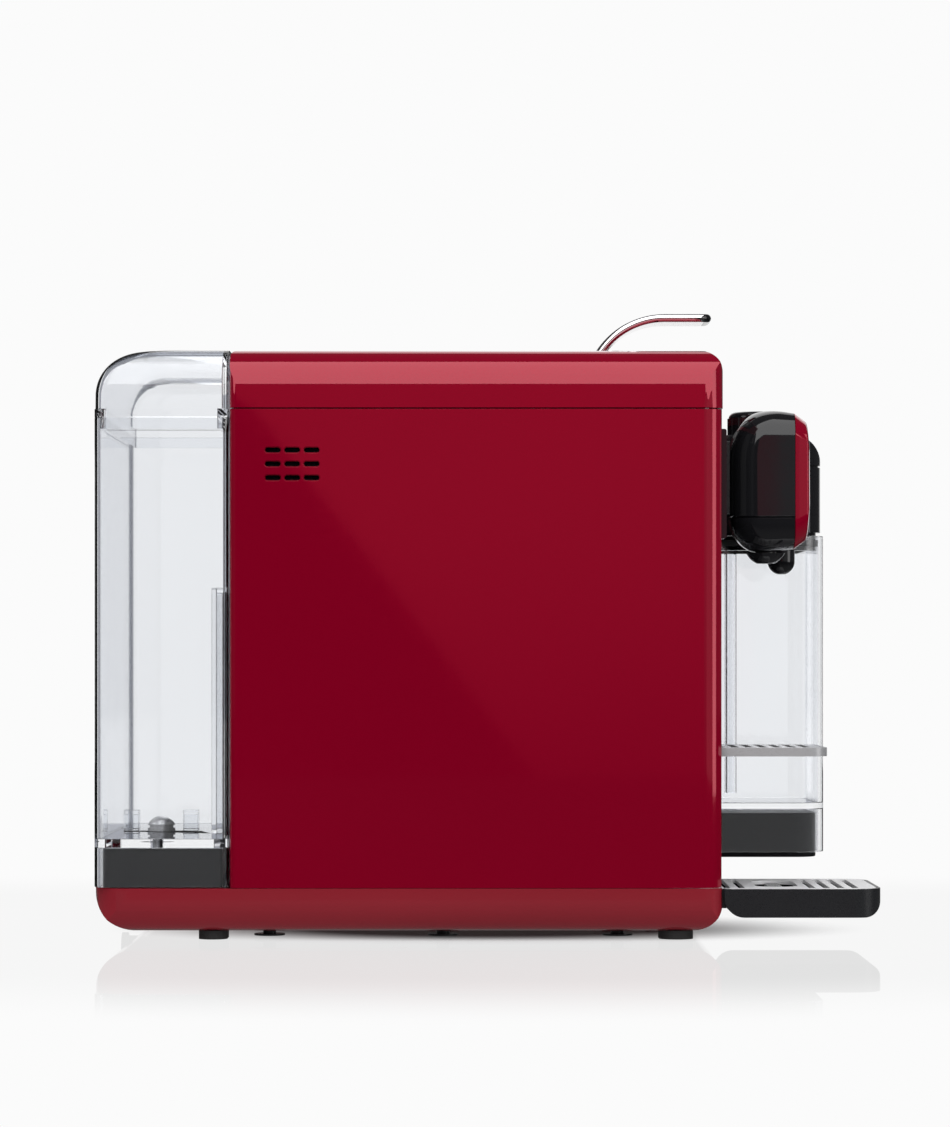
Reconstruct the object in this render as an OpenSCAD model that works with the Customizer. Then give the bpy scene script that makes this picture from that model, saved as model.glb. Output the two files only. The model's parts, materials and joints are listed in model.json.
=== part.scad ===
// Pod coffee machine with a clear rear water tank, a lever brewer and a milk container.
// Millimetres. X runs across the machine, -Y is its front, +Z is up.
// The origin is on the floor, under the middle of the whole footprint.

/* [Body] */
// Width over the two side covers
body_w = 180; // [176:1:186]
// Front edge of the side covers, in front of the origin
body_front = 106; // [104:1:108]
// Rear edge of the side covers, behind the origin
body_rear = 116.5; // [116:0.5:118]
// Rear end of the base, behind the origin
base_rear = 178; // [176:0.5:182]
// Height of the flat underside above the floor
base_z = 4; // [3:0.5:5]
// Height of the seam between base and side covers
base_seam = 23.8; // [23:0.1:25]
// Height of the seam between side covers and top cover
top_seam = 240; // [238:0.5:242]
// Height of the top cover
body_top = 267; // [266:0.5:268]
// Wall thickness of the casings
wall = 2.5; // [2:0.1:3]
// Gap at each seam between casings
seam_gap = 0.6; // [0.4:0.1:0.8]

/* [Lever and brewer] */
// Width of the chrome lever
lever_w = 28; // [24:1:30]
// Thickness of the chrome lever
lever_t = 3.8; // [3:0.1:4.5]
// Height of the lever's upper face
lever_top = 289; // [286:1:291]
// Radius of the lever pin
pin_r = 3; // [2.5:0.1:3.5]
// Radial running clearance of pins and shafts
running_gap = 0.05; // [0.02:0.01:0.1]

/* [Water tank] */
// Height of the tank's rim
tank_rim = 236; // [230:1:238]
// Underside of the tank's floor
tank_floor = 42; // [40:1:44]
// Wall thickness of the tank
tank_wall = 2.2; // [1.8:0.1:2.6]

/* [Front] */
// Middle of the coffee outlet, left of the centre
outlet_x = -44; // [-46:1:-42]
// Width of the coffee outlet
outlet_w = 44; // [40:1:46]
// Middle of the milk container, right of the centre
milk_x = 44; // [43:1:45]
// Width of the milk container
milk_w = 78; // [74:1:80]
// Height of the cup rest's upper face
cup_rest_z = 86.9; // [80:0.1:92]
// Front end of the drip tray, in front of the origin
tray_front = 178; // [174:1:180]

/* [Hidden] */
$fn = 64;

screw_r = 1.5;
runner_top = 14.2;
half_w = body_w / 2;
// How far a cutting shape runs past the solid it cuts
over = 1;

// Casing colours
red = [0.55, 0.01, 0.09];
base_red = [0.58, 0.07, 0.1];
gloss_black = [0.04, 0.04, 0.045];
satin_black = [0.11, 0.11, 0.12];
clear = [0.88, 0.91, 0.93, 0.35];
chrome_colour = [0.82, 0.82, 0.84];
rubber_colour = [0.06, 0.06, 0.06];

// Corner radii, seen from above: [front, rear]
cover_corner = [9, 3];
base_corner = [9, 16];
// Corner radii of the base's underside, seen from the side and from the front
base_front_r = 14;
base_rear_r = 19.5;
base_side_r = 15;
// Rounding of the top cover along its sides and along its front
top_side_r = 17;
top_front_r = 11;
// How far the side covers' flanges reach in front of and behind the machine
flange_x = 84.6;

// Vent grid: slot size, bevel, pitch, and the upper rear slot's centre
vent_slot = [7, 2.3];
vent_bevel = 0.8;
vent_pitch = [8.75, 6.25];
vent_origin = [97, 221.2];
vent_count = 3;

// Niche in the machine's front, which holds the cup and the milk container
niche_y = -80;
niche_roof = 184;
milk_niche_roof = 199;
liner_x = [84.8, 86];
liner_front = -100.4;
fascia_half_w = 84.4;
fascia_y = -107.6;
fascia_back = -104.6;
fascia_top = 231;

// Control strip in the front of the top cover
strip_half_w = 62;
strip_z = [245, 259];
button_r = 5.5;
button_pitch = 24;
button_face = -105.4;

// Lever: its pivot, and the arc that lifts it to the grip
pivot = [-42, 255.5];
hub_r = 11;
hub_half_w = 20;
arc_centre = [-83, 250.6];
arc_r = lever_top - arc_centre[1];
grip_end = -101.5;
tip_end = -105;
// Opening in the top cover that the hatch and the hub fill
hatch_half_w = 21;
hatch_front = -82;
hatch_t = 2.8;
hatch_gap = 0.6;
hatch_rear = -29.5;

// Pinions on the hub and racks on the piston, so that the lever drives the piston
gear_r = 12;
gear_teeth = 16;
tooth_pitch = 2 * PI * gear_r / gear_teeth;
tooth_up = 1.2;
tooth_down = 1.7;
gear_x = [20.5, 25.5];
// Pinion teeth that the travel uses, counted from the tooth that points down
sector_teeth = [-2, 5];
rack_z = pivot[1] - gear_r;

// Brew chamber, whose axis lies along Y
brew_z = 219.5;
piston_r = 17;
piston_back = -86.5;
holder_r = 20;
holder_y = [-66, -36];
cheek_x = [29, 32];

// Coffee outlet
outlet_back = -111;
outlet_joint = -140;
outlet_front = -148;
outlet_top = 241;
outlet_dome_r = 60;
outlet_seam = 192;
outlet_bottom = 176;
// Roundings of its long edges, lower then upper, of its rear ends, and of its plan
outlet_side_r = [14, 12];
outlet_rear_r = [15, 20];
outlet_plan_r = 13;
nozzle_y = -128;
nozzle_r = 9.8;
nozzle_bottom = 171;

// Milk container and its lid
milk_back = -84;
milk_front = -160;
milk_rim = 185.5;
milk_skirt = 35.4;
milk_floor = 56;
milk_wall = 2.2;
milk_corner = 14;
lid_z = 187;
lid_top = 233;
lid_groove = 218.4;
knob_centre = [milk_x, -131];
knob_r = 15;
knob_top = 246;
port_z = 213;
lid_step_y = -109;
lid_slab_top = 196.5;
spout_y = -137.8;
spout_r = 6.4;
spout_x = -10.7;
spout_bottom = 166.5;
arm_z = [191, 203];
suction = [milk_x + 10, -118];

// Drawer: drip tray, capsule bin and cup rest, which pull out to the front together
drawer_x = [-82.5, -5.5];
bin_back = 8;
bin_top = 150;
bin_front = [-81, -78];
bin_front_top = 164.5;
tray_x = [-86, -2];
tray_back = -106.6;
tray_top = 23.3;
tray_bottom = 10.4;
grille_t = 1.6;
slot_w = 3;
slot_pitch = 6.5;
slot_half_l = 34.5;
oval = [48, 19.4];
oval_y = -132;

// Main switch in the right-hand side cover: its place (Y, Z) and radius
switch_at = [92, 44];
switch_r = 6;

// Water tank and its dock
tank_half_w = 88;
tank_y = [117.2, 177.9];
tank_corner = 6;
lid_joint = 240;
recess_half_w = 26;
recess_y = 126.5;
recess_top = 158;
valve_y = 154;
stem_r = 3;
spring_z = [38.2, 41.5];
dock_y = [119.9, 175];
dock_top = 41.5;
dock_half_w = 84;
dock_corner = 7;

// Hoses: their radius, where the intake leaves the dock and enters the chassis,
// and where the pressure hose crosses the chassis
hose_r = 3;
intake_x = -60;
intake_y = [98, 128];
intake_z = 14;
hose_y = 21;
hose_z = 178;
coffee_z = 212;

// Cord inlet in the rear of the base
gland_x = 62;
gland_z = 13.8;
cord_r = 3.5;

// ---------------------------------------------------------------- shared shapes

// Box between two corners
module block(x, y, z) {
    translate([x[0], y[0], z[0]]) cube([x[1] - x[0], y[1] - y[0], z[1] - z[0]]);
}

// Rectangle with its own radius at each corner, counted from the low corner, anticlockwise
module corner_rect(x, y, r) {
    polygon(concat(
        r[0] > 0 ? [[x[0], y[0] + r[0]], [x[0] + r[0], y[0]]] : [[x[0], y[0]]],
        r[1] > 0 ? [[x[1] - r[1], y[0]], [x[1], y[0] + r[1]]] : [[x[1], y[0]]],
        r[2] > 0 ? [[x[1], y[1] - r[2]], [x[1] - r[2], y[1]]] : [[x[1], y[1]]],
        r[3] > 0 ? [[x[0] + r[3], y[1]], [x[0], y[1] - r[3]]] : [[x[0], y[1]]]
    ));
    if (r[0] > 0) translate([x[0] + r[0], y[0] + r[0]]) circle(r = r[0]);
    if (r[1] > 0) translate([x[1] - r[1], y[0] + r[1]]) circle(r = r[1]);
    if (r[2] > 0) translate([x[1] - r[2], y[1] - r[2]]) circle(r = r[2]);
    if (r[3] > 0) translate([x[0] + r[3], y[1] - r[3]]) circle(r = r[3]);
}

// Extrudes an outline drawn as (Y, Z) across the machine
module across(x) {
    translate([x[0], 0, 0]) rotate([90, 0, 90]) linear_extrude(x[1] - x[0]) children();
}

// Extrudes an outline drawn as (X, Z) from front to rear
module along(y) {
    translate([0, y[1], 0]) rotate([90, 0, 0]) linear_extrude(y[1] - y[0]) children();
}

// Extrudes an outline drawn as (X, Y) upwards
module upright(z) {
    translate([0, 0, z[0]]) linear_extrude(z[1] - z[0]) children();
}

module rod_x(x, y, z, r) {
    translate([x[0], y, z]) rotate([0, 90, 0]) cylinder(r = r, h = x[1] - x[0]);
}

module rod_y(x, y, z, r) {
    translate([x, y[1], z]) rotate([90, 0, 0]) cylinder(r = r, h = y[1] - y[0]);
}

module rod_z(x, y, z, r) {
    translate([x, y, z[0]]) cylinder(r = r, h = z[1] - z[0]);
}

// Slot with round ends, drawn about the origin, longer along its first axis
module slot_outline(length, width) {
    square([length - width, width], center = true);
    for (side = [-1, 1]) translate([side * (length - width) / 2, 0]) circle(r = width / 2);
}

// Places its children at the base's screws
module at_base_screws() {
    for (x = [-72, 72], y = [40, 104]) translate([x, y, 0]) children();
    translate([72, -58, 0]) children();
}

// Places its children at the rear panel's screws, pointing to the front
module at_rear_screws() {
    for (x = [-78.5, 78.5], z = [64, 130, 196])
        translate([x, 113.6, z]) rotate([90, 0, 0]) children();
}

// ---------------------------------------------------------------- casings

// Solid of the base, shrunk by inset on every side but its top
module base_solid(inset, top) {
    x = [-half_w + inset, half_w - inset];
    y = [-body_front + inset, base_rear - inset];
    z = [base_z + inset, top];
    intersection() {
        across(x) corner_rect(y, z, [base_front_r - inset, base_rear_r - inset, 0, 0]);
        along(y) corner_rect(x, z, [base_side_r - inset, base_side_r - inset, 0, 0]);
        upright(z) corner_rect(x, y, [
            base_corner[0] - inset, base_corner[0] - inset,
            base_corner[1] - inset, base_corner[1] - inset
        ]);
    }
}

module base_shell() {
    boss_z = [base_z + wall - 0.5, base_seam - 2.8];
    color(base_red) difference() {
        union() {
            difference() {
                base_solid(0, base_seam);
                base_solid(wall, base_seam + over);
            }
            at_base_screws() rod_z(0, 0, boss_z, 5);
            // Deck under the water tank's dock
            intersection() {
                base_solid(0, base_seam);
                block([-half_w, half_w], [body_rear - 1, base_rear], [base_seam - 2.4, base_seam]);
            }
            // Runners for the drip tray
            for (x = [-79, -15]) block([x, x + 6], [-98, bin_back], [base_z + wall - 0.5, runner_top]);
            // Boss that carries the cord gland
            intersection() {
                rod_y(gland_x, [168, base_rear], gland_z, 8.5);
                base_solid(0, base_seam);
            }
        }
        // Mouth for the drip tray
        block([-84, -2], [-body_front - over, -body_front + 8], [9.4, base_seam + over]);
        rod_y(gland_x, [160, base_rear + over], gland_z, 6);
        rod_y(gland_x, [174.9, base_rear + over], gland_z, 7.5);
        rod_z(intake_x, intake_y[1], [base_seam - 4, base_seam + over], hose_r + 1);
        at_base_screws() {
            rod_z(0, 0, [base_z - over, base_z + 2.4], 3.5);
            rod_z(0, 0, [base_z, base_seam], screw_r + 0.1);
        }
    }
}

module casing_screws() {
    color("silver") {
        at_base_screws() {
            rod_z(0, 0, [base_z + 0.3, base_z + 2.4], 3.2);
            rod_z(0, 0, [base_z + 2.4, base_seam - 0.5], screw_r);
        }
        at_rear_screws() {
            rod_z(0, 0, [0, 1.8], 3);
            rod_z(0, 0, [1.8, 4.8], screw_r);
        }
    }
}

module chassis() {
    floor_z = [base_seam - 2.8, base_seam];
    color(satin_black) {
        difference() {
            block([-86, 86], [-76, 112], floor_z);
            // Bay for the drawer
            block([-84.5, -1.6], [-76 - over, 14], [floor_z[0] - over, floor_z[1] + over]);
            at_base_screws() rod_z(0, 0, [floor_z[0] - over, floor_z[1] + over], screw_r + 0.1);
            rod_z(intake_x, intake_y[0], [floor_z[0] - over, floor_z[1] + over], hose_r + 1);
        }
        // Wall between the drawer's bay and the heater
        difference() {
            block([-1.6, 1], [-76, 108], [floor_z[1], 182]);
            rod_x([-3, 3], hose_y, hose_z, hose_r + 0.5);
        }
        // Rear wall of the drawer's bay
        block([-84.5, -1.6], [14, 16.5], [floor_z[1], 182]);
        // Rear upright, behind which the rear panel sits
        difference() {
            block([-84, 84], [108, 110.4], [floor_z[1], 238]);
            at_rear_screws() rod_z(0, 0, [0, 10], screw_r + 0.1);
        }
        // Chute that drops used capsules from under the brewer into the bin
        along([-70, -32]) polygon([[-3.4, 181.6], [26, 186.6], [26, 188.6], [-3.4, 184.2]]);
        // Deck that carries the brew frame
        difference() {
            block([-84.5, 40], [-72, 108], [182, 184.4]);
            block([-78, -4], [-72 - over, -30], [182 - over, 185]);
        }
    }
}

// Outline of the covers seen from above, shrunk by inset
module cover_outline(inset) {
    corner_rect([-half_w + inset, half_w - inset], [-body_front + inset, body_rear - inset], [
        cover_corner[0] - inset, cover_corner[0] - inset,
        cover_corner[1] - inset, cover_corner[1] - inset
    ]);
}

// Vent grid cut through a side cover; side is -1 on the left and 1 on the right
module vents(side) {
    outer = side * half_w;
    for (column = [0:vent_count - 1], row = [0:vent_count - 1]) {
        y = vent_origin[0] - column * vent_pitch[0];
        z = vent_origin[1] - row * vent_pitch[1];
        across([outer - wall - over, outer + wall + over])
            translate([y, z]) slot_outline(vent_slot[0], vent_slot[1]);
        across([outer - 0.5, outer + 0.5])
            translate([y, z]) slot_outline(vent_slot[0] + vent_bevel, vent_slot[1] + vent_bevel);
    }
}

module side_cover(side) {
    z = [base_seam + 0.2, top_seam - seam_gap / 2];
    half = side > 0 ? [flange_x, half_w + over] : [-half_w - over, -flange_x];
    color(red) difference() {
        intersection() {
            upright(z) difference() {
                cover_outline(0);
                cover_outline(wall);
            }
            block(half, [-body_front - over, body_rear + over], z);
        }
        vents(side);
        if (side > 0)
            rod_x([half_w - wall - over, half_w + over], switch_at[0], switch_at[1], switch_r + 0.4);
    }
}

module left_side_cover() side_cover(-1);
module right_side_cover() side_cover(1);

// Solid of the top cover, shrunk by inset on every side but its underside
module top_solid(inset, bottom) {
    x = [-half_w + inset, half_w - inset];
    y = [-body_front + inset, body_rear - inset];
    z = [bottom, body_top - inset];
    intersection() {
        across(x) corner_rect(y, z, [0, 0, cover_corner[1] - inset, top_front_r - inset]);
        along(y) corner_rect(x, z, [0, 0, top_side_r - inset, top_side_r - inset]);
        upright(z) cover_outline(inset);
    }
}

module top_cover() {
    opening_x = hatch_half_w + hatch_gap;
    bottom = top_seam + seam_gap / 2;
    color(red) difference() {
        top_solid(0, bottom);
        top_solid(wall, bottom - over);
        block(
            [-opening_x, opening_x], [hatch_front - hatch_gap, hatch_rear],
            [body_top - 6, body_top + over]
        );
        along([-body_front - over, -body_front + 5])
            corner_rect([-strip_half_w, strip_half_w], strip_z, [3, 3, 3, 3]);
    }
}

module rear_panel() {
    z = [base_seam + 0.4, top_seam - 0.5];
    color(satin_black) difference() {
        union() {
            // Plate that fills the covers' rear opening
            block([-80.7, 80.7], [113.2, body_rear - 0.3], z);
            // Strips that sit in front of the covers' flanges
            for (side = [-1, 1]) block(side > 0 ? [72, 86.9] : [-86.9, -72], [110.4, 113.6], z);
        }
        at_rear_screws() rod_z(0, 0, [-4, 10], screw_r + 0.1);
        at_rear_screws() rod_z(0, 0, [-4, 1.8], 3.2);
    }
}

module guide_bar() {
    color(gloss_black) across([-22, 22])
        corner_rect([body_rear - 0.3, recess_y - 2.6], [tank_floor, recess_top], [0, 1.5, 1.5, 0]);
}

module front_panel() {
    floor_z = [base_seam + 0.2, base_seam + 2.4];
    top = top_seam - 0.5;
    back = niche_y + 2.5;
    divider = [-1.2, 1.5];
    color(gloss_black) {
        difference() {
            union() {
                // Fascia, proud of the side covers, lower over the cup than over the milk container
                across([-fascia_half_w, divider[1]]) corner_rect(
                    [fascia_y, fascia_back], [niche_roof - 2.5, fascia_top], [1, 0, 0, 1]
                );
                across([divider[0], fascia_half_w]) corner_rect(
                    [fascia_y, fascia_back], [milk_niche_roof, fascia_top], [1, 0, 0, 1]
                );
                block(
                    [-fascia_half_w, fascia_half_w],
                    [fascia_y + 2.2, fascia_back], [fascia_top - 2, top]
                );
            }
            rod_y(outlet_x, [fascia_y - over, fascia_back + over], coffee_z, hose_r + 0.5);
            rod_y(milk_x, [fascia_y - over, fascia_back + over], port_z, 5.1);
        }
        // Roof and lining of the cup niche, and the strip of its back above the capsule bin
        block([-liner_x[1], divider[1]], [niche_y, back], [bin_front_top + 0.7, niche_roof - 2.5]);
        block([-liner_x[1], divider[1]], [liner_front, back], [niche_roof - 2.5, niche_roof]);
        block([-fascia_half_w, divider[1]], [fascia_back, back], [niche_roof - 2.5, niche_roof]);
        block([-liner_x[1], -liner_x[0]], [liner_front, back], [floor_z[0], niche_roof - 2.5]);
        // Niche of the milk container: side wall, roof, back, lining and floor
        block(divider, [fascia_back, back], [niche_roof - 2.5, milk_niche_roof + 2.5]);
        block([divider[1], liner_x[1]], [liner_front, back], [milk_niche_roof, milk_niche_roof + 2.5]);
        block([divider[1], fascia_half_w], [fascia_back, back], [milk_niche_roof, milk_niche_roof + 2.5]);
        block([divider[1], liner_x[1]], [niche_y, back], [floor_z[0], milk_niche_roof]);
        block(liner_x, [liner_front, niche_y], [floor_z[0], milk_niche_roof]);
        block([divider[1], liner_x[0]], [liner_front, niche_y], floor_z);
    }
}

function button_x(i) = (i - 3) * button_pitch;

module control_panel() {
    gap = 0.3;
    color(gloss_black) difference() {
        along([-body_front + 0.4, -body_front + 3.4]) corner_rect(
            [-strip_half_w + gap, strip_half_w - gap],
            [strip_z[0] + gap, strip_z[1] - gap], [2.7, 2.7, 2.7, 2.7]
        );
        for (i = [1:5])
            rod_y(button_x(i), [-body_front - over, -body_front + 5], 252, button_r + 0.3);
    }
    // Rear carrier, with a guide for each button's stem
    color(satin_black) difference() {
        block([-strip_half_w, strip_half_w], [-96.5, -94], [244, 260]);
        for (i = [1:5]) rod_y(button_x(i), [-98, -92], 252, 2 + running_gap);
    }
    for (side = [-1, 1]) color(satin_black)
        translate([side * (strip_half_w - 1.8), 0, 0])
            block([-1.5, 1.5], [-body_front + 3.4, -96.5], [248, 256]);
}

module push_button(i) {
    color(chrome_colour) {
        rod_y(button_x(i), [button_face, button_face + 3], 252, button_r);
        rod_y(button_x(i), [button_face + 3, -92.5], 252, 2);
    }
}

module button_1() push_button(1);
module button_2() push_button(2);
module button_3() push_button(3);
module button_4() push_button(4);
module button_5() push_button(5);

// Round latching switch in the right-hand side cover, low at the rear
module power_switch() {
    color(gloss_black) {
        rod_x([half_w - 4, half_w - 0.1], switch_at[0], switch_at[1], switch_r);
        rod_x([half_w - 8, half_w - 4], switch_at[0], switch_at[1], 3);
    }
}

// ---------------------------------------------------------------- water tank

module tank_outline(inset) {
    corner_rect([-tank_half_w + inset, tank_half_w - inset], [tank_y[0] + inset, tank_y[1] - inset], [
        1.5 - min(inset, 1.2), 1.5 - min(inset, 1.2), tank_corner - inset, tank_corner - inset
    ]);
}

module water_tank() {
    floor_z = [tank_floor, tank_floor + 3.8];
    color(clear) difference() {
        union() {
            difference() {
                upright([base_seam + 0.4, tank_rim]) tank_outline(0);
                upright([floor_z[1], tank_rim + over]) tank_outline(tank_wall);
                upright([base_seam - over, floor_z[0]]) tank_outline(tank_wall);
            }
            // Wall of the recess for the guide bar
            block(
                [-recess_half_w, recess_half_w], [tank_y[0], recess_y + tank_wall],
                [floor_z[0], recess_top + tank_wall]
            );
            // Neck that enters the dock, and the two brackets that guard the valve
            rod_z(0, valve_y, [35.5, floor_z[0]], 8);
            for (side = [-1, 1]) difference() {
                translate([0, valve_y + side * 14, floor_z[1] + 5]) cube([9, 7, 10], center = true);
                translate([0, valve_y + side * 14, floor_z[1] + 4.5]) cube([6, 8, 7], center = true);
            }
        }
        block(
            [-recess_half_w + tank_wall, recess_half_w - tank_wall], [tank_y[0] - over, recess_y],
            [base_seam - over, recess_top]
        );
        rod_z(0, valve_y, [30, 60], stem_r + running_gap);
        rod_z(0, valve_y, [30, spring_z[1]], 6);
    }
}

module tank_lid() {
    z = [lid_joint, body_top + 0.3];
    x = [-tank_half_w, tank_half_w];
    rear_r = 22;
    rim_gap = 0.3;
    rim_depth = 5;
    // The shell stands this far inside its bead
    shell_inset = 0.4;
    color(clear) difference() {
        union() {
            intersection() {
                upright(z) tank_outline(shell_inset);
                across(x) corner_rect(tank_y, z, [0, 0, rear_r, 1.5]);
                along(tank_y) corner_rect(x, z, [0, 0, top_side_r, top_side_r]);
            }
            // Rim that enters the tank
            upright([tank_rim - rim_depth, lid_joint]) tank_outline(tank_wall + rim_gap);
            // Bead that rests on the tank's rim
            upright([tank_rim, lid_joint]) tank_outline(0);
        }
        upright([tank_rim - rim_depth - over, lid_joint + over]) tank_outline(2 * tank_wall + rim_gap);
        intersection() {
            upright([lid_joint, z[1] - tank_wall]) tank_outline(shell_inset + tank_wall);
            across(x) corner_rect(
                [tank_y[0] + tank_wall, tank_y[1] - tank_wall], [lid_joint - over, z[1] - tank_wall],
                [0, 0, rear_r - tank_wall, 0]
            );
            along(tank_y) corner_rect(
                [x[0] + tank_wall, x[1] - tank_wall], [lid_joint - over, z[1] - tank_wall],
                [0, 0, top_side_r - tank_wall, top_side_r - tank_wall]
            );
        }
    }
}

module valve_plunger() {
    seat = tank_floor + 3.85;
    color([0.35, 0.35, 0.36]) {
        rod_z(0, valve_y, [spring_z[0] - 1.2, seat], stem_r);
        // Collar under the spring
        rod_z(0, valve_y, [spring_z[0] - 1.3, spring_z[0]], 5.2);
        // Ribbed dome that closes the tank's outlet
        translate([0, valve_y, seat]) rotate_extrude() {
            square([6.5, 1.6]);
            translate([0, 1.6]) square([5.6, 1.2]);
            intersection() {
                circle(r = 7.2);
                translate([0, 2.8]) square([6.4, 5]);
            }
        }
    }
}

// Sleeve in the place of the coil spring that closes the valve
module valve_spring() {
    color(chrome_colour) difference() {
        rod_z(0, valve_y, spring_z, 4.8);
        rod_z(0, valve_y, [spring_z[0] - over, spring_z[1] + over], 3.6);
    }
}

module tank_dock() {
    color(satin_black) difference() {
        union() {
            difference() {
                upright([base_seam + 0.1, dock_top]) corner_rect(
                    [-dock_half_w, dock_half_w], dock_y, [2, 2, dock_corner, dock_corner]
                );
                upright([base_seam - over, dock_top - wall]) corner_rect(
                    [-dock_half_w + wall, dock_half_w - wall],
                    [dock_y[0] + wall, dock_y[1] - wall],
                    [1, 1, dock_corner - wall, dock_corner - wall]
                );
            }
            rod_z(0, valve_y, [30, dock_top - wall], 12.5);
        }
        // Socket for the tank's neck
        rod_z(0, valve_y, [34, dock_top + over], 10);
        rod_z(0, valve_y, [28, 35], 2.5);
    }
    // Probe that opens the tank's valve
    color(satin_black) difference() {
        rod_z(0, valve_y, [33.8, 36.8], 4.6);
        rod_z(0, valve_y, [33, 38], 2.5);
    }
}

module dock_seal() {
    color(rubber_colour) translate([0, valve_y, 38.5]) rotate_extrude()
        translate([9.05, 0]) circle(r = 0.95, $fn = 24);
}

// ---------------------------------------------------------------- lever and brewer

// The lever's bar, from the hub up the arc to x_end on the flat grip
module lever_bar(front, rear) {
    half = lever_w / 2;
    intersection() {
        across([-half, half]) {
            intersection() {
                difference() {
                    translate(arc_centre) circle(r = arc_r, $fn = 128);
                    translate(arc_centre) circle(r = arc_r - lever_t, $fn = 128);
                }
                translate([arc_centre[0], arc_centre[1] + 9]) square([arc_r + 5, arc_r + 5]);
            }
            translate([front, lever_top - lever_t]) square([arc_centre[0] - front, lever_t]);
        }
        block([-half, half], [front, rear], [240, lever_top]);
        // Rounded end of the grip, seen from above
        upright([240, lever_top + over])
            corner_rect([-half, half], [tip_end, pivot[0]], [6, 6, 0, 0]);
    }
}

module lever() {
    color(chrome_colour) lever_bar(grip_end, pivot[0]);
}

module lever_tip() {
    half = lever_w / 2;
    color(gloss_black) intersection() {
        across([-half, half])
            corner_rect([tip_end, grip_end], [lever_top - lever_t, lever_top], [1, 0, 0, 1]);
        upright([240, lever_top + over])
            corner_rect([-half, half], [tip_end, grip_end], [3.4, 3.4, 0, 0]);
    }
}

// Pinion tooth that points down before it is turned to its place
module pinion_tooth(index) {
    rotate(index * 360 / gear_teeth) polygon([
        [-1.35, -gear_r + tooth_down + 0.5], [-0.85, -gear_r], [-0.45, -gear_r - tooth_up],
        [0.45, -gear_r - tooth_up], [0.85, -gear_r], [1.35, -gear_r + tooth_down + 0.5]
    ]);
}

module lever_hub() {
    color(satin_black) difference() {
        union() {
            rod_x([-hub_half_w, hub_half_w], pivot[0], pivot[1], hub_r);
            for (side = [-1, 1]) across(side > 0 ? gear_x : [-gear_x[1], -gear_x[0]]) {
                translate(pivot) {
                    circle(r = 8.4);
                    intersection() {
                        circle(r = gear_r - tooth_down);
                        polygon(concat(
                            [[0, 0]], [for (a = [-147:30:33]) 20 * [cos(a), sin(a)]]
                        ));
                    }
                    for (i = [sector_teeth[0]:sector_teeth[1]]) pinion_tooth(i);
                }
            }
            rod_x([-gear_x[1], gear_x[1]], pivot[0], pivot[1], 6);
        }
        lever_bar(grip_end, pivot[0]);
        rod_x([-40, 40], pivot[0], pivot[1], pin_r + running_gap);
    }
}

module lever_pin() {
    color("silver") rod_x([-cheek_x[1] - 2, cheek_x[1] + 2], pivot[0], pivot[1], pin_r);
}

module capsule_hatch() {
    color(red) difference() {
        intersection() {
            block(
                [-hatch_half_w, hatch_half_w],
                [hatch_front, pivot[0] - 4], [body_top - hatch_t, body_top]
            );
            upright([body_top - 5, body_top + over])
                corner_rect([-hatch_half_w, hatch_half_w], [hatch_front, pivot[0]], [3, 3, 0, 0]);
        }
        rod_x([-30, 30], pivot[0], pivot[1], hub_r);
        lever_bar(grip_end, pivot[0]);
    }
    // Two ribs that tie the hatch to the hub
    color(red) difference() {
        for (side = [-1, 1]) block(
            side > 0 ? [15.5, 18] : [-18, -15.5], [-70, pivot[0] - 4], [body_top - 8, body_top - hatch_t]
        );
        rod_x([-30, 30], pivot[0], pivot[1], hub_r);
    }
}

module brew_frame() {
    color(satin_black) difference() {
        union() {
            for (side = [-1, 1]) across(side > 0 ? cheek_x : [-cheek_x[1], -cheek_x[0]]) {
                corner_rect([-77, -10], [184.4, 236], [0, 0, 3, 3]);
                corner_rect([-56, -28], [230, 263], [0, 0, 6, 6]);
            }
            block([-cheek_x[1], cheek_x[1]], [-14, -10], [184.4, 230]);
        }
        rod_y(0, [-15, -9], brew_z, hose_r + 0.3);
        rod_x([-40, -20], -45, coffee_z, hose_r + 0.3);
        rod_x([-40, 40], pivot[0], pivot[1], pin_r + running_gap);
    }
}

module brew_piston() {
    rack_arm_z = [rack_z - tooth_down - 4.6, rack_z - tooth_down];
    color([0.75, 0.76, 0.78]) difference() {
        union() {
            rod_y(0, [-84, -68.5], brew_z, piston_r);
            block([-gear_x[1], gear_x[1]], [piston_back, -84], [brew_z - 14, rack_arm_z[1]]);
            for (side = [-1, 1]) across(side > 0 ? gear_x : [-gear_x[1], -gear_x[0]]) {
                translate([piston_back, rack_arm_z[0]]) square([70, rack_arm_z[1] - rack_arm_z[0]]);
                for (i = [-3:4]) translate([pivot[0] + (i + 0.5) * tooth_pitch, rack_z]) polygon([
                    [-1.5, -tooth_down - 0.1], [-0.95, 0], [-0.5, tooth_up],
                    [0.5, tooth_up], [0.95, 0], [1.5, -tooth_down - 0.1]
                ]);
            }
        }
        // Water channel and the seal's groove
        rod_y(0, [-90, -60], brew_z, 2);
        translate([0, -73, brew_z]) rotate([90, 0, 0]) rotate_extrude()
            translate([piston_r, 0]) square([3, 2.4], center = true);
    }
}

module piston_seal() {
    color(rubber_colour) translate([0, -73, brew_z]) rotate([90, 0, 0]) rotate_extrude()
        translate([piston_r - 0.4, 0]) circle(r = 1.05, $fn = 24);
}

module capsule_holder() {
    color([0.2, 0.2, 0.21]) difference() {
        union() {
            rod_y(0, holder_y, brew_z, holder_r);
            block([-cheek_x[0], cheek_x[0]], [holder_y[1], holder_y[1] + 4], [195, 235]);
        }
        rod_y(0, [holder_y[0] - over, holder_y[1] - 4], brew_z, 17.8);
        rod_y(0, [-50, -20], brew_z, 2);
        rod_x([-25, 0], -45, coffee_z, 2);
    }
}

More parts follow.
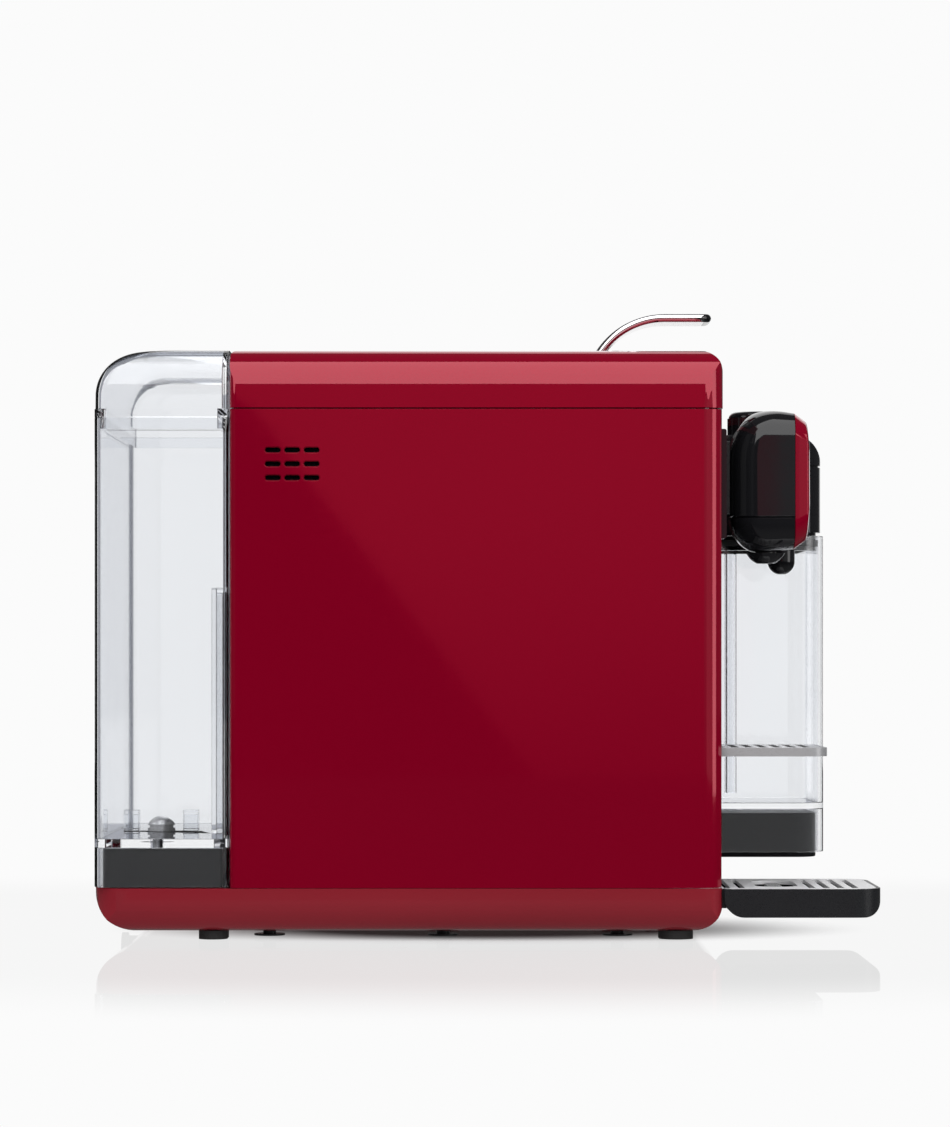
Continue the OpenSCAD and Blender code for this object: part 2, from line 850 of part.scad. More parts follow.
module piercing_plate() {
    y = holder_y[1] - 4;
    color("silver") difference() {
        union() {
            rod_y(0, [y - 1.5, y], brew_z, 17.5);
            for (i = [0:5]) translate([9 * cos(i * 60), y - 1.5, brew_z + 9 * sin(i * 60)])
                rotate([90, 0, 0]) cylinder(r1 = 1.6, r2 = 0.3, h = 4, $fn = 24);
        }
        rod_y(0, [y - 3, y + 1], brew_z, 2);
    }
}

// ---------------------------------------------------------------- coffee outlet

function outlet_half() = outlet_w / 2;

// Outline of the outlet seen from the side, between two heights
module outlet_side(y, z) {
    intersection() {
        translate([nozzle_y, outlet_top - outlet_dome_r]) circle(r = outlet_dome_r, $fn = 128);
        translate([nozzle_y, outlet_bottom + outlet_dome_r]) circle(r = outlet_dome_r, $fn = 128);
        corner_rect([y[0], y[1]], z, [0, 0, 0, 0]);
    }
}

// The outlet's plan, from its red face to its rear
module outlet_plan(inset) {
    corner_rect(
        [outlet_x - outlet_half() + inset, outlet_x + outlet_half() - inset],
        [outlet_front - 2, outlet_back - inset],
        [1, 1, outlet_plan_r - inset, outlet_plan_r - inset]
    );
}

// Black part of the outlet between two heights
module outlet_body(z, inset) {
    intersection() {
        across([outlet_x - outlet_half(), outlet_x + outlet_half()])
            intersection() {
                outlet_side([outlet_joint, outlet_back], z);
                corner_rect(
                    [outlet_joint, outlet_back - inset], [outlet_bottom + inset, outlet_top + 4],
                    [0, outlet_rear_r[0], outlet_rear_r[1], 0]
                );
            }
        upright(z) outlet_plan(inset);
        along([outlet_front, outlet_back]) corner_rect(
            [outlet_x - outlet_half() + inset, outlet_x + outlet_half() - inset],
            [outlet_bottom, outlet_top],
            [outlet_side_r[0], outlet_side_r[0], outlet_side_r[1], outlet_side_r[1]]
        );
    }
}

module outlet_housing() {
    color(gloss_black) difference() {
        outlet_body([outlet_seam, outlet_top], 0);
        block(
            [outlet_x - 18, outlet_x + 18], [outlet_joint - over, outlet_back - 4],
            [outlet_seam - over, outlet_top - 9]
        );
        // Way in for the coffee pipe
        rod_y(outlet_x, [outlet_back - 8, outlet_back + over], coffee_z, hose_r + 0.2);
    }
}

module outlet_lower_cover() {
    color(gloss_black) difference() {
        outlet_body([outlet_bottom, outlet_seam - 0.3], 0.2);
        block([outlet_x - 17, outlet_x + 17], [outlet_joint + 2, outlet_back - 6], [184, outlet_seam]);
        rod_z(outlet_x, nozzle_y, [outlet_bottom - over, 186], 5);
    }
}

module outlet_front_plate() {
    half = outlet_half();
    bulge_r = 190;
    color(red) intersection() {
        // Domed ends, and a face that bulges between them
        across([outlet_x - half, outlet_x + half]) intersection() {
            outlet_side([outlet_front - over, outlet_joint - 0.1], [outlet_bottom, outlet_top]);
            translate([outlet_front + bulge_r, 205]) circle(r = bulge_r, $fn = 180);
        }
        upright([outlet_bottom - over, outlet_top + over]) corner_rect(
            [outlet_x - half, outlet_x + half], [outlet_front - 0.4, outlet_joint], [7, 7, 0, 0]
        );
        along([outlet_front - over, outlet_joint]) corner_rect(
            [outlet_x - half, outlet_x + half], [outlet_bottom, outlet_top],
            [outlet_side_r[0], outlet_side_r[0], outlet_side_r[1], outlet_side_r[1]]
        );
    }
}

module outlet_arm() {
    color(satin_black) difference() {
        block([outlet_x - 12, outlet_x + 12], [outlet_back, fascia_y], [194, 227]);
        rod_y(outlet_x, [outlet_back - over, fascia_y + over], coffee_z, hose_r + 0.2);
    }
}

module coffee_nozzle() {
    color(gloss_black) translate([outlet_x, nozzle_y, 0]) rotate_extrude() difference() {
        intersection() {
            translate([0, nozzle_bottom]) square([nozzle_r, 15]);
            union() {
                translate([0, nozzle_bottom + 9]) circle(r = nozzle_r);
                translate([0, nozzle_bottom + 9]) square([4.8, 8]);
            }
            translate([0, nozzle_bottom]) union() {
                square([nozzle_r, 4.9]);
                square([4.8, 15]);
            }
        }
        translate([0, nozzle_bottom - over]) square([2, 20]);
    }
}

// ---------------------------------------------------------------- milk container

module milk_outline(inset) {
    half = milk_w / 2 - inset;
    r = milk_corner - inset;
    corner_rect([milk_x - half, milk_x + half], [milk_front + inset, milk_back - inset], [r, r, r, r]);
}

module milk_container() {
    color(clear) difference() {
        upright([milk_skirt, milk_rim]) milk_outline(0);
        upright([milk_floor + 2.6, milk_rim + over]) milk_outline(milk_wall);
        upright([milk_skirt - over, milk_floor]) milk_outline(milk_wall);
    }
}

module milk_container_base() {
    color(satin_black) difference() {
        upright([33, 54]) milk_outline(3.6);
        upright([32, 51.5]) milk_outline(6.6);
    }
}

// Outline of the milk lid seen from above
module lid_outline(inset) {
    half = milk_w / 2 + 0.5 - inset;
    front_r = milk_corner - inset;
    corner_rect(
        [milk_x - half, milk_x + half], [milk_front + 1.4 + inset, milk_back - 1 - inset],
        [front_r, front_r, 8 - inset, 8 - inset]
    );
}

module milk_lid() {
    half = milk_w / 2 + 0.5;
    x = [milk_x - half, milk_x + half];
    front = milk_front + 1.4;
    color(gloss_black) difference() {
        union() {
            // Tall body in front of the machine, and a slab that reaches into the niche
            intersection() {
                upright([lid_z, lid_top]) lid_outline(0);
                across(x) {
                    corner_rect([front, lid_step_y], [lid_z, lid_top], [0, 0, 3, 14]);
                    corner_rect([lid_step_y - 5, milk_back], [lid_z, lid_slab_top], [0, 0, 2, 0]);
                }
            }
            // Plug that enters the container
            upright([178.5, lid_z]) milk_outline(milk_wall + 1.2);
            // Arm that carries the milk spout to the cup
            block([spout_x, milk_x - half + 3], [spout_y - 4, spout_y + 4], arm_z);
            rod_z(spout_x, spout_y, arm_z, 7.6);
        }
        // Froth chamber, around the bar that holds the suction tube
        difference() {
            union() {
                upright([170, lid_slab_top - 2.5]) milk_outline(8);
                intersection() {
                    upright([170, lid_top - 12]) milk_outline(8);
                    block(x, [milk_front, lid_step_y - 4], [170, lid_top - 12]);
                }
            }
            block([milk_x - 40, milk_x + 40], [suction[1] - 5, suction[1] + 5], [184, 188]);
        }
        rod_z(suction[0], suction[1], [180, 192], 3.1);
        // Groove below the cap
        difference() {
            upright([lid_groove - 0.4, lid_groove + 0.4]) lid_outline(-over);
            upright([lid_groove - over, lid_groove + over]) lid_outline(0.8);
        }
        // Socket for the machine's steam port, then the bores of the spout's and knob's shafts
        rod_y(milk_x, [lid_step_y - 6, lid_step_y + over], port_z, 5.4);
        rod_z(spout_x, spout_y, [188, 210], 4 + running_gap);
        rod_z(knob_centre[0], knob_centre[1], [lid_top - 20, lid_top + over], 4 + running_gap);
    }
}

module lid_seal() {
    color([0.75, 0.76, 0.78]) difference() {
        upright([180.5, 183.5]) milk_outline(milk_wall + 0.15);
        upright([180, 184]) milk_outline(milk_wall + 1.2);
    }
}

module froth_knob() {
    color(gloss_black) {
        difference() {
            rod_z(knob_centre[0], knob_centre[1], [lid_top + 0.6, knob_top - 3], knob_r);
            for (i = [0:17]) rotate_about(knob_centre, i * 20)
                rod_z(knob_centre[0] + knob_r + 0.6, knob_centre[1], [lid_top, knob_top], 1.2);
        }
        translate([knob_centre[0], knob_centre[1], knob_top - 3]) rotate_extrude() {
            square([knob_r - 3.6, 3]);
            translate([knob_r - 3.6, 0]) intersection() {
                circle(r = 3);
                square([3, 3]);
            }
        }
        rod_z(knob_centre[0], knob_centre[1], [lid_top - 10, lid_top + 0.6], 4);
    }
}

// Turns its children about a vertical line through a point
module rotate_about(centre, angle) {
    translate([centre[0], centre[1], 0]) rotate([0, 0, angle]) translate([-centre[0], -centre[1], 0])
        children();
}

module milk_spout() {
    color(gloss_black) difference() {
        union() {
            rod_z(spout_x, spout_y, [spout_bottom + spout_r, arm_z[0] - 0.4], spout_r);
            translate([spout_x, spout_y, spout_bottom + spout_r]) sphere(r = spout_r);
            rod_z(spout_x, spout_y, [arm_z[0] - 0.4, arm_z[1] + 3], 4);
            rod_z(spout_x, spout_y, [arm_z[1] + 0.3, arm_z[1] + 3], 6);
        }
        rod_z(spout_x, spout_y, [160, 200], 2);
    }
}

module suction_tube() {
    color([0.8, 0.82, 0.84]) difference() {
        rod_z(suction[0], suction[1], [62, 205], 3);
        rod_z(suction[0], suction[1], [61, 206], 1.8);
    }
}

module steam_port() {
    color(chrome_colour) difference() {
        union() {
            rod_y(milk_x, [-118, -96], port_z, 5);
            rod_y(milk_x, [fascia_back, fascia_back + 3], port_z, 8);
        }
        rod_y(milk_x, [-119, -95], port_z, 1.5);
    }
}

// ---------------------------------------------------------------- drawer

module capsule_bin() {
    pin_y = -84.8;
    pin_z = cup_rest_z - 2;
    color(satin_black) difference() {
        union() {
            difference() {
                block(drawer_x, [bin_front[1], bin_back], [base_seam + 0.2, bin_top]);
                block(
                    [drawer_x[0] + 2, drawer_x[1] - 2], [bin_front[1], bin_back - 2],
                    [base_seam + 2.2, bin_top + over]
                );
            }
            // Front wall, which closes the back of the cup niche
            block([-84, -2.4], bin_front, [base_seam + 0.2, bin_front_top]);
            // Lugs of the cup rest's hinge
            for (x = [-84, -7.4]) across([x, x + 3.4]) {
                corner_rect([pin_y - 4, bin_front[0]], [pin_z - 4, pin_z + 4], [4, 0, 0, 4]);
            }
        }
        rod_x([-90, 0], pin_y, pin_z, 2 + running_gap);
    }
}

module cup_rest() {
    x = [-80.2, -7.8];
    pin_y = -84.8;
    pin_z = cup_rest_z - 2;
    color(chrome_colour) difference() {
        union() {
            upright([cup_rest_z - 3.9, cup_rest_z]) corner_rect(x, [-154, -85], [9, 9, 0, 0]);
            rod_x(x, pin_y, pin_z, 3.4);
        }
        for (i = [0:7]) upright([cup_rest_z - 5, cup_rest_z + over])
            translate([(x[0] + x[1]) / 2, -145 + i * slot_pitch]) slot_outline(56, 3.4);
        rod_x([-90, 0], pin_y, pin_z, 2 + running_gap);
    }
}

module cup_rest_pin() {
    color("silver") rod_x([-84, -4], -84.8, cup_rest_z - 2, 2);
}

module drip_tray() {
    inner_z = tray_bottom + 2;
    color(satin_black) difference() {
        union() {
            // Part in front of the machine
            intersection() {
                across(tray_x) corner_rect([-tray_front, tray_back], [tray_bottom, tray_top], [8, 9, 0, 0]);
                upright([tray_bottom, tray_top])
                    corner_rect(tray_x, [-tray_front, tray_back], [13, 13, 0, 0]);
            }
            // Tongue that carries the bin
            block(drawer_x, [tray_back - over, bin_back], [14.5, tray_top]);
        }
        // Trough, with a ledge under the grille
        upright([inner_z, tray_top + over]) corner_rect(
            [tray_x[0] + 4.6, tray_x[1] - 4.6], [-tray_front + 4.6, tray_back - 6], [9, 9, 2, 2]
        );
        upright([tray_top - grille_t - 0.1, tray_top + over]) corner_rect(
            [tray_x[0] + 1.6, tray_x[1] - 1.6], [-tray_front + 1.6, tray_back - 1.6], [11.4, 11.4, 1, 1]
        );
        // Trough in the tongue
        block(
            [drawer_x[0] + 2, drawer_x[1] - 2], [tray_back - 8, bin_front[0] - 1],
            [16.5, tray_top + over]
        );
        block([drawer_x[0] + 2, drawer_x[1] - 2], [bin_front[0] + 2, bin_back - 2], [16.5, tray_top - 2]);
    }
}

module drip_grille() {
    centre_x = (tray_x[0] + tray_x[1]) / 2;
    z = [tray_top - grille_t, tray_top + 0.1];
    color(chrome_colour) difference() {
        union() {
            upright(z) corner_rect(
                [tray_x[0] + 1.9, tray_x[1] - 1.9], [-tray_front + 1.9, tray_back - 1.9], [11, 11, 1, 1]
            );
            upright(z) corner_rect(
                [drawer_x[0] + 2.3, drawer_x[1] - 2.3], [tray_back - 3, bin_front[0] - 1.4], [0, 0, 1, 1]
            );
        }
        for (i = [0:3]) upright([z[0] - over, z[1] + over])
            translate([centre_x, -166.4 + i * slot_pitch]) slot_outline(2 * slot_half_l, slot_w);
        for (i = [0:4]) upright([z[0] - over, z[1] + over])
            translate([centre_x, -114.9 + i * slot_pitch]) slot_outline(2 * slot_half_l, slot_w);
        upright([z[0] - over, z[1] + over])
            translate([centre_x, oval_y]) slot_outline(oval[0], oval[1]);
    }
}

module drip_float() {
    centre_x = (tray_x[0] + tray_x[1]) / 2;
    color([0.75, 0.75, 0.77]) {
        upright([tray_bottom + 2, tray_top - 0.8]) translate([centre_x, oval_y]) slot_outline(44, 6.5);
        upright([tray_bottom + 2, tray_bottom + 6]) translate([centre_x, oval_y]) slot_outline(50, 16);
    }
}

// ---------------------------------------------------------------- feet and insides

module rubber_feet() {
    color(rubber_colour) for (side = [-1, 1]) {
        upright([0, base_z]) translate([side * 66, -85.4]) slot_outline(24, 15.5);
        upright([0, base_z]) translate([side * 66, 125]) slot_outline(24, 13);
    }
}

module support_studs() {
    color(satin_black) for (side = [-1, 1], y = [-59, 20.6, 99.8]) {
        rod_z(side * 62, y, [1.8, base_z], 3);
        rod_z(side * 62, y, [1, 1.8], 7);
    }
}

pump_axis = [-40, 70];
pump_y = [26, 94];

module pump() {
    color([0.6, 0.6, 0.62]) {
        rod_y(pump_axis[0], [pump_y[0] + 16, pump_y[1] - 20], pump_axis[1], 19);
        rod_y(pump_axis[0], pump_y, pump_axis[1], 9);
        block(
            [pump_axis[0] - 22, pump_axis[0] + 22], [pump_y[0] + 24, pump_y[1] - 28],
            [pump_axis[1] - 22, pump_axis[1] + 22]
        );
    }
}

module pump_mounts() {
    color(rubber_colour) for (y = [pump_y[0] + 5, pump_y[1] - 13]) difference() {
        block(
            [pump_axis[0] - 16, pump_axis[0] + 16], [y, y + 8], [base_seam, pump_axis[1] + 14]
        );
        rod_y(pump_axis[0], [y - over, y + 9], pump_axis[1], 9);
    }
}

module thermoblock() {
    color([0.7, 0.71, 0.72]) {
        difference() {
            block([14, 74], [-50, 14], [96, 158]);
            for (i = [0:4]) block([10, 16], [-44 + i * 12, -40 + i * 12], [92, 162]);
        }
        rod_z(44, -18, [158, 172], 5);
        rod_z(26, -40, [158, 170], 5);
        rod_z(44, -18, [84, 96], 5);
        for (x = [18, 64]) block([x, x + 6], [-46, -38], [base_seam, 96]);
    }
}

module flow_meter() {
    color([0.85, 0.85, 0.83]) {
        rod_z(-30, 98, [110, 124], 9);
        rod_z(-30, 98, [100, 132], 3.4);
    }
}

// Round hose through a list of points, one axis at a time, with a ball-shaped elbow at each bend
module hose(points) {
    for (i = [0:len(points) - 2]) {
        a = points[i];
        b = points[i + 1];
        low = [for (k = [0:2]) min(a[k], b[k])];
        high = [for (k = [0:2]) max(a[k], b[k])];
        if (high[0] > low[0]) rod_x([low[0], high[0]], a[1], a[2], hose_r);
        if (high[1] > low[1]) rod_y(a[0], [low[1], high[1]], a[2], hose_r);
        if (high[2] > low[2]) rod_z(a[0], a[1], [low[2], high[2]], hose_r);
        if (i > 0) translate(a) sphere(r = hose_r * 1.15);
    }
}

module hoses() {
    color([0.85, 0.86, 0.86]) {
        // Tank dock to flow meter
        hose([
            [intake_x, intake_y[1], base_seam], [intake_x, intake_y[1], intake_z],
            [intake_x, intake_y[0], intake_z], [intake_x, intake_y[0], 92], [-30, 98, 92], [-30, 98, 100]
        ]);
        // Flow meter to pump
        hose([
            [-30, 98, 132], [-30, 98, 140], [-70, 98, 140], [-70, 98, 110], [-70, 104.5, 110],
            [-70, 104.5, 70], [-40, 104.5, 70], [-40, 94, 70]
        ]);
        // Pump to heater
        hose([
            [-40, 26, 70], [-40, hose_y, 70], [-40, hose_y, hose_z], [26, hose_y, hose_z],
            [26, -40, hose_z], [26, -40, 170]
        ]);
        // Heater to brewer
        hose([[44, -18, 172], [44, -18, 200], [44, 0, 200], [0, 0, 200], [0, 0, brew_z], [0, -32, brew_z]]);
        // Brewer to coffee outlet
        hose([[-20.1, -45, coffee_z], [outlet_x, -45, coffee_z], [outlet_x, outlet_back - 7, coffee_z]]);
        // Heater to steam port
        hose([
            [58, -18, 158], [58, -18, port_z], [58, -88, port_z], [milk_x, -88, port_z],
            [milk_x, -96, port_z]
        ]);
    }
}

module control_board() {
    color([0.1, 0.35, 0.2]) block([76, 77.6], [24, 98], [70, 170]);
    color([0.15, 0.15, 0.16]) {
        block([62, 76], [30, 54], [80, 104]);
        block([68, 76], [64, 90], [90, 120]);
        for (i = [0:3]) rod_x([66, 76], 34 + i * 14, 140, 5);
    }
    // Posts that hold the board off the right-hand upright
    color([0.5, 0.5, 0.5]) for (z = [80, 160]) block([70, 80], [98, 104], [z - 3, z + 3]);
}

module cord_gland() {
    color(rubber_colour) difference() {
        union() {
            rod_y(gland_x, [164, 175], gland_z, 5.9);
            rod_y(gland_x, [175, base_rear], gland_z, 7.4);
        }
        rod_y(gland_x, [160, base_rear + over], gland_z, cord_r);
    }
}

base_shell();
chassis();
left_side_cover();
right_side_cover();
top_cover();
rear_panel();
guide_bar();
front_panel();
control_panel();
button_1();
button_2();
button_3();
button_4();
button_5();
power_switch();
tank_dock();
dock_seal();
water_tank();
tank_lid();
valve_plunger();
valve_spring();
lever();
lever_tip();
lever_hub();
lever_pin();
capsule_hatch();
brew_frame();
brew_piston();
piston_seal();
capsule_holder();
piercing_plate();
outlet_arm();
outlet_housing();
outlet_front_plate();
outlet_lower_cover();
coffee_nozzle();
milk_container();
milk_container_base();
milk_lid();
lid_seal();
froth_knob();
milk_spout();
suction_tube();
steam_port();
capsule_bin();
cup_rest();
cup_rest_pin();
drip_tray();
drip_grille();
drip_float();
rubber_feet();
support_studs();
pump();
pump_mounts();
thermoblock();
flow_meter();
hoses();
control_board();
cord_gland();
casing_screws();
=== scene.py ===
"""Looks of the pod coffee machine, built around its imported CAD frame. Metres, +Z up, front faces -Y."""
import math

import bmesh
import bpy
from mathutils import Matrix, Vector
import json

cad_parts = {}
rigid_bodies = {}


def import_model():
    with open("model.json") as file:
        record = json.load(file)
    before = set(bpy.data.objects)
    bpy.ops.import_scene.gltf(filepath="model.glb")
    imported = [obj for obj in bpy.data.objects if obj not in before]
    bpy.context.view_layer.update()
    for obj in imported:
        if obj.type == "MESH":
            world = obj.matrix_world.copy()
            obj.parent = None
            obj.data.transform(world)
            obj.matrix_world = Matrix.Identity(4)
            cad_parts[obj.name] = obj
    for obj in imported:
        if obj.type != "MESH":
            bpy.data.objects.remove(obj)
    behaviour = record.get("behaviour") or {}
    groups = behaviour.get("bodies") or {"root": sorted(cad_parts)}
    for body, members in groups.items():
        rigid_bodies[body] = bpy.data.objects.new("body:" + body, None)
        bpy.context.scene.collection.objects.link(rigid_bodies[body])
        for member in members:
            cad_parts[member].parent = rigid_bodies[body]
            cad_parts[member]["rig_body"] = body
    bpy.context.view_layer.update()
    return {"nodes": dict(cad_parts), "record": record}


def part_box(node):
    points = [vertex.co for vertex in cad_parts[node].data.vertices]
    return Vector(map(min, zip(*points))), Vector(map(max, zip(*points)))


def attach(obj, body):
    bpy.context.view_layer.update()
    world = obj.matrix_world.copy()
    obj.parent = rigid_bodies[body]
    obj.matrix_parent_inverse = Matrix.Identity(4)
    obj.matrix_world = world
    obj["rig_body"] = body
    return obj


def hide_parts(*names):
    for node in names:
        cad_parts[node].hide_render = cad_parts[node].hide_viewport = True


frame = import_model()
scene = bpy.context.scene
NODES = frame["nodes"]

# ---------------------------------------------------------------- camera
CAMERA_AT = (-1.890, 0.006, 0.129)
CAMERA_TURN = (math.radians(90), 0.0, math.radians(-90))
SENSOR_MM = 36.0
LENS_MM = 127.8
LENS_SHIFT = 0.081
camera_data = bpy.data.cameras.new("camera")
camera_data.sensor_fit = "VERTICAL"
camera_data.sensor_height = SENSOR_MM
camera_data.lens = LENS_MM
camera_data.shift_y = LENS_SHIFT
camera = bpy.data.objects.new("camera", camera_data)
scene.collection.objects.link(camera)
camera.location = CAMERA_AT
camera.rotation_euler = CAMERA_TURN
scene.camera = camera
scene.view_settings.view_transform = "Standard"
scene.view_settings.look = "None"
scene.cycles.max_bounces = 20
scene.cycles.glossy_bounces = 12
scene.cycles.transmission_bounces = 20


# ---------------------------------------------------------------- material helpers
def new_material(name):
    mat = bpy.data.materials.new(name)
    mat.use_nodes = True
    tree = mat.node_tree
    shader = tree.nodes["Principled BSDF"]
    coords = tree.nodes.new("ShaderNodeTexCoord")
    return mat, tree, shader, coords.outputs["Object"]


def add_noise(tree, coords, scale, detail=2.0, stretch=None):
    noise = tree.nodes.new("ShaderNodeTexNoise")
    noise.inputs["Scale"].default_value = scale
    noise.inputs["Detail"].default_value = detail
    if stretch:
        mapping = tree.nodes.new("ShaderNodeMapping")
        mapping.inputs["Scale"].default_value = stretch
        tree.links.new(coords, mapping.inputs["Vector"])
        coords = mapping.outputs["Vector"]
    tree.links.new(coords, noise.inputs["Vector"])
    return noise.outputs["Fac"]


def ramp(tree, value, start, end, low=0.0, high=1.0, smooth=True):
    """Runs from low to high while the value runs from start to end."""
    node = tree.nodes.new("ShaderNodeMapRange")
    node.interpolation_type = "SMOOTHSTEP" if smooth else "LINEAR"
    node.inputs["From Min"].default_value = start
    node.inputs["From Max"].default_value = end
    node.inputs["To Min"].default_value = low
    node.inputs["To Max"].default_value = high
    tree.links.new(value, node.inputs["Value"])
    return node.outputs["Result"]


NOISE_RANGE = (0.3, 0.7)


def spread(tree, noise, low, high):
    """A noise's middle range, spread from low to high."""
    return ramp(tree, noise, *NOISE_RANGE, low, high, smooth=False)


def calculate(tree, operation, *values):
    """A math node over numbers and sockets."""
    node = tree.nodes.new("ShaderNodeMath")
    node.operation = operation
    for socket, value in zip(node.inputs, values):
        if isinstance(value, (int, float)):
            socket.default_value = value
        else:
            tree.links.new(value, socket)
    return node.outputs["Value"]


def mix_colours(tree, factor, first, second):
    """Mixes two colours, each a list of three numbers or a socket."""
    node = tree.nodes.new("ShaderNodeMix")
    node.data_type = "RGBA"
    tree.links.new(factor, node.inputs["Factor"])
    for socket, colour in zip((node.inputs["A"], node.inputs["B"]), (first, second)):
        if isinstance(colour, bpy.types.NodeSocket):
            tree.links.new(colour, socket)
        else:
            socket.default_value = (*colour, 1)
    return node.outputs["Result"]


def finish_material(name, colour, rough, metallic=0.0, coat=0.0, tone=0.04, grain=900.0, bump=0.02,
                    bump_size=0.0002, patch=14.0, stretch=None, specular=0.5, **extra):
    """A moulded, painted or metal finish: its tone, roughness and surface all vary a little."""
    mat, tree, shader, coords = new_material(name)
    links = tree.links
    cloud = add_noise(tree, coords, patch, 3.0, stretch)
    darker = [c * (1 - tone) for c in colour]
    lighter = [min(1, c * (1 + tone)) for c in colour]
    links.new(mix_colours(tree, spread(tree, cloud, 0.0, 1.0), darker, lighter), shader.inputs["Base Color"])
    fine = add_noise(tree, coords, grain, 2.0, stretch)
    links.new(spread(tree, fine, rough[0], rough[1]), shader.inputs["Roughness"])
    node = tree.nodes.new("ShaderNodeBump")
    node.inputs["Strength"].default_value = bump
    node.inputs["Distance"].default_value = bump_size
    links.new(fine, node.inputs["Height"])
    links.new(node.outputs["Normal"], shader.inputs["Normal"])
    shader.inputs["Metallic"].default_value = metallic
    shader.inputs["Coat Weight"].default_value = coat
    shader.inputs["Coat Roughness"].default_value = 0.02
    shader.inputs["Specular IOR Level"].default_value = specular
    for key, value in extra.items():
        shader.inputs[key.replace("_", " ").title().replace("Ior", "IOR")].default_value = value
    mat.diffuse_color = (*colour, 1)
    return mat


RED = finish_material("red_gloss", (0.238, 0.0004, 0.0150), (0.03, 0.055), metallic=0.4, coat=0.22, tone=0.02,
                      grain=260.0, bump=0.012, patch=6.0)
BASE_RED = finish_material("base_red", (0.232, 0.014, 0.0235), (0.10, 0.16), metallic=0.25, coat=0.3,
                           tone=0.03, grain=500.0, bump=0.02, patch=8.0)
GLOSS_BLACK = finish_material("gloss_black", (0.006, 0.006, 0.007), (0.04, 0.08), tone=0.1, grain=300.0,
                              bump=0.01, patch=9.0)
SATIN_BLACK = finish_material("satin_black", (0.009, 0.0095, 0.011), (0.24, 0.36), tone=0.1, grain=2600.0,
                              bump=0.12, patch=20.0, specular=0.4)
CHROME = finish_material("chrome", (0.72, 0.71, 0.72), (0.05, 0.11), metallic=1.0, tone=0.02, grain=700.0,
                         bump=0.01, patch=12.0)
STEEL = finish_material("brushed_steel", (0.56, 0.56, 0.57), (0.22, 0.4), metallic=1.0, tone=0.06,
                        grain=420.0, bump=0.05, patch=60.0, stretch=(1.0, 14.0, 14.0))
SILVER = finish_material("silver_plastic", (0.52, 0.52, 0.53), (0.25, 0.38), metallic=0.6, tone=0.05,
                         grain=1800.0, bump=0.08)
# A darker, less glossy copy of the black plastic: painted shade for the parts seen behind the clear plastic
SHADE_DARKENED_BLACK = finish_material("black_painted_shade", (0.0062, 0.0066, 0.0078), (0.3, 0.42), tone=0.12,
                             grain=2600.0, bump=0.1, patch=20.0, specular=0.1)
PALE_METAL = finish_material("satin_metal", (0.70, 0.70, 0.71), (0.28, 0.4), metallic=0.3, tone=0.03,
                             grain=900.0, bump=0.03, patch=30.0, stretch=(0.15, 3.0, 3.0))
REST_METAL = finish_material("rest_metal", (0.40, 0.40, 0.41), (0.26, 0.38), metallic=0.5, tone=0.04,
                             grain=900.0, bump=0.03, patch=30.0, stretch=(0.15, 3.0, 3.0))
RUBBER = finish_material("black_rubber", (0.014, 0.014, 0.014), (0.6, 0.85), tone=0.15, grain=2200.0,
                         bump=0.3)
HOSE = finish_material("hose_plastic", (0.62, 0.63, 0.62), (0.3, 0.5), tone=0.06, grain=600.0, bump=0.08)
BOARD = finish_material("board", (0.012, 0.09, 0.03), (0.3, 0.6), tone=0.2, grain=900.0, bump=0.3)
HEATER = finish_material("heater_metal", (0.42, 0.4, 0.38), (0.35, 0.6), metallic=1.0, tone=0.12, grain=700.0,
                         bump=0.2)
CLEAR = finish_material("clear_plastic", (0.93, 0.94, 0.955), (0.01, 0.03), tone=0.01, grain=120.0, bump=0.01,
                        patch=7.0, transmission_weight=1.0, ior=1.47)


def tint(mat, factor, dark):
    """Mixes a darker colour into a material's own."""
    tree = mat.node_tree
    base = tree.nodes["Principled BSDF"].inputs["Base Color"]
    tree.links.new(mix_colours(tree, factor, base.links[0].from_socket, dark), base)


def paint_edge_shade(mat, dark, start, end):
    """Painted shade: clear plastic's colour turns darker where it is seen along its wall."""
    tree = mat.node_tree
    facing = tree.nodes.new("ShaderNodeLayerWeight")
    facing.inputs["Blend"].default_value = 0.5
    tint(mat, ramp(tree, facing.outputs["Facing"], start, end), dark)


# Painted shade on the clear plastic, darker where it is seen edge-on
paint_edge_shade(CLEAR, (0.66, 0.68, 0.73), 0.5, 0.95)


FACE_ON = 0.04


def clear_with_corner_shade(name, start, end, dark):
    """The clear plastic with painted shade on the turned part of its corners, where light runs along the
    wall.
    """
    mat = CLEAR.copy()
    mat.name = name
    tree = mat.node_tree
    geometry = tree.nodes.new("ShaderNodeNewGeometry")
    split = tree.nodes.new("ShaderNodeSeparateXYZ")
    tree.links.new(geometry.outputs["Normal"], split.inputs["Vector"])
    across = calculate(tree, "ABSOLUTE", split.outputs["X"])
    not_flat = calculate(tree, "GREATER_THAN", across, FACE_ON)
    tint(mat, calculate(tree, "MULTIPLY", ramp(tree, across, start, end), not_flat), dark)
    return mat


# Painted shade on the turned corners of the water tank and its lid
CLEAR_TANK = clear_with_corner_shade("clear_tank", 0.85, 0.6, (0.16, 0.17, 0.20))
CLEAR_LID = clear_with_corner_shade("clear_lid", 0.6, 0.4, (0.10, 0.11, 0.135))

FINISHES = {
    "red_gloss": RED, "base_red": BASE_RED, "gloss_black": GLOSS_BLACK, "satin_black": SATIN_BLACK,
    "clear_plastic": CLEAR, "chrome": CHROME, "brushed_steel": STEEL, "silver_plastic": SILVER,
    "black_rubber": RUBBER, "hose_plastic": HOSE, "board": BOARD, "heater_metal": HEATER,
}


# ---------------------------------------------------------------- mesh helpers
def add_object(name, mesh, mat, body, replaced=()):
    obj = bpy.data.objects.new(name, mesh)
    scene.collection.objects.link(obj)
    mesh.materials.clear()
    mesh.materials.append(mat)
    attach(obj, body)
    if replaced:
        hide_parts(*replaced)
    return obj


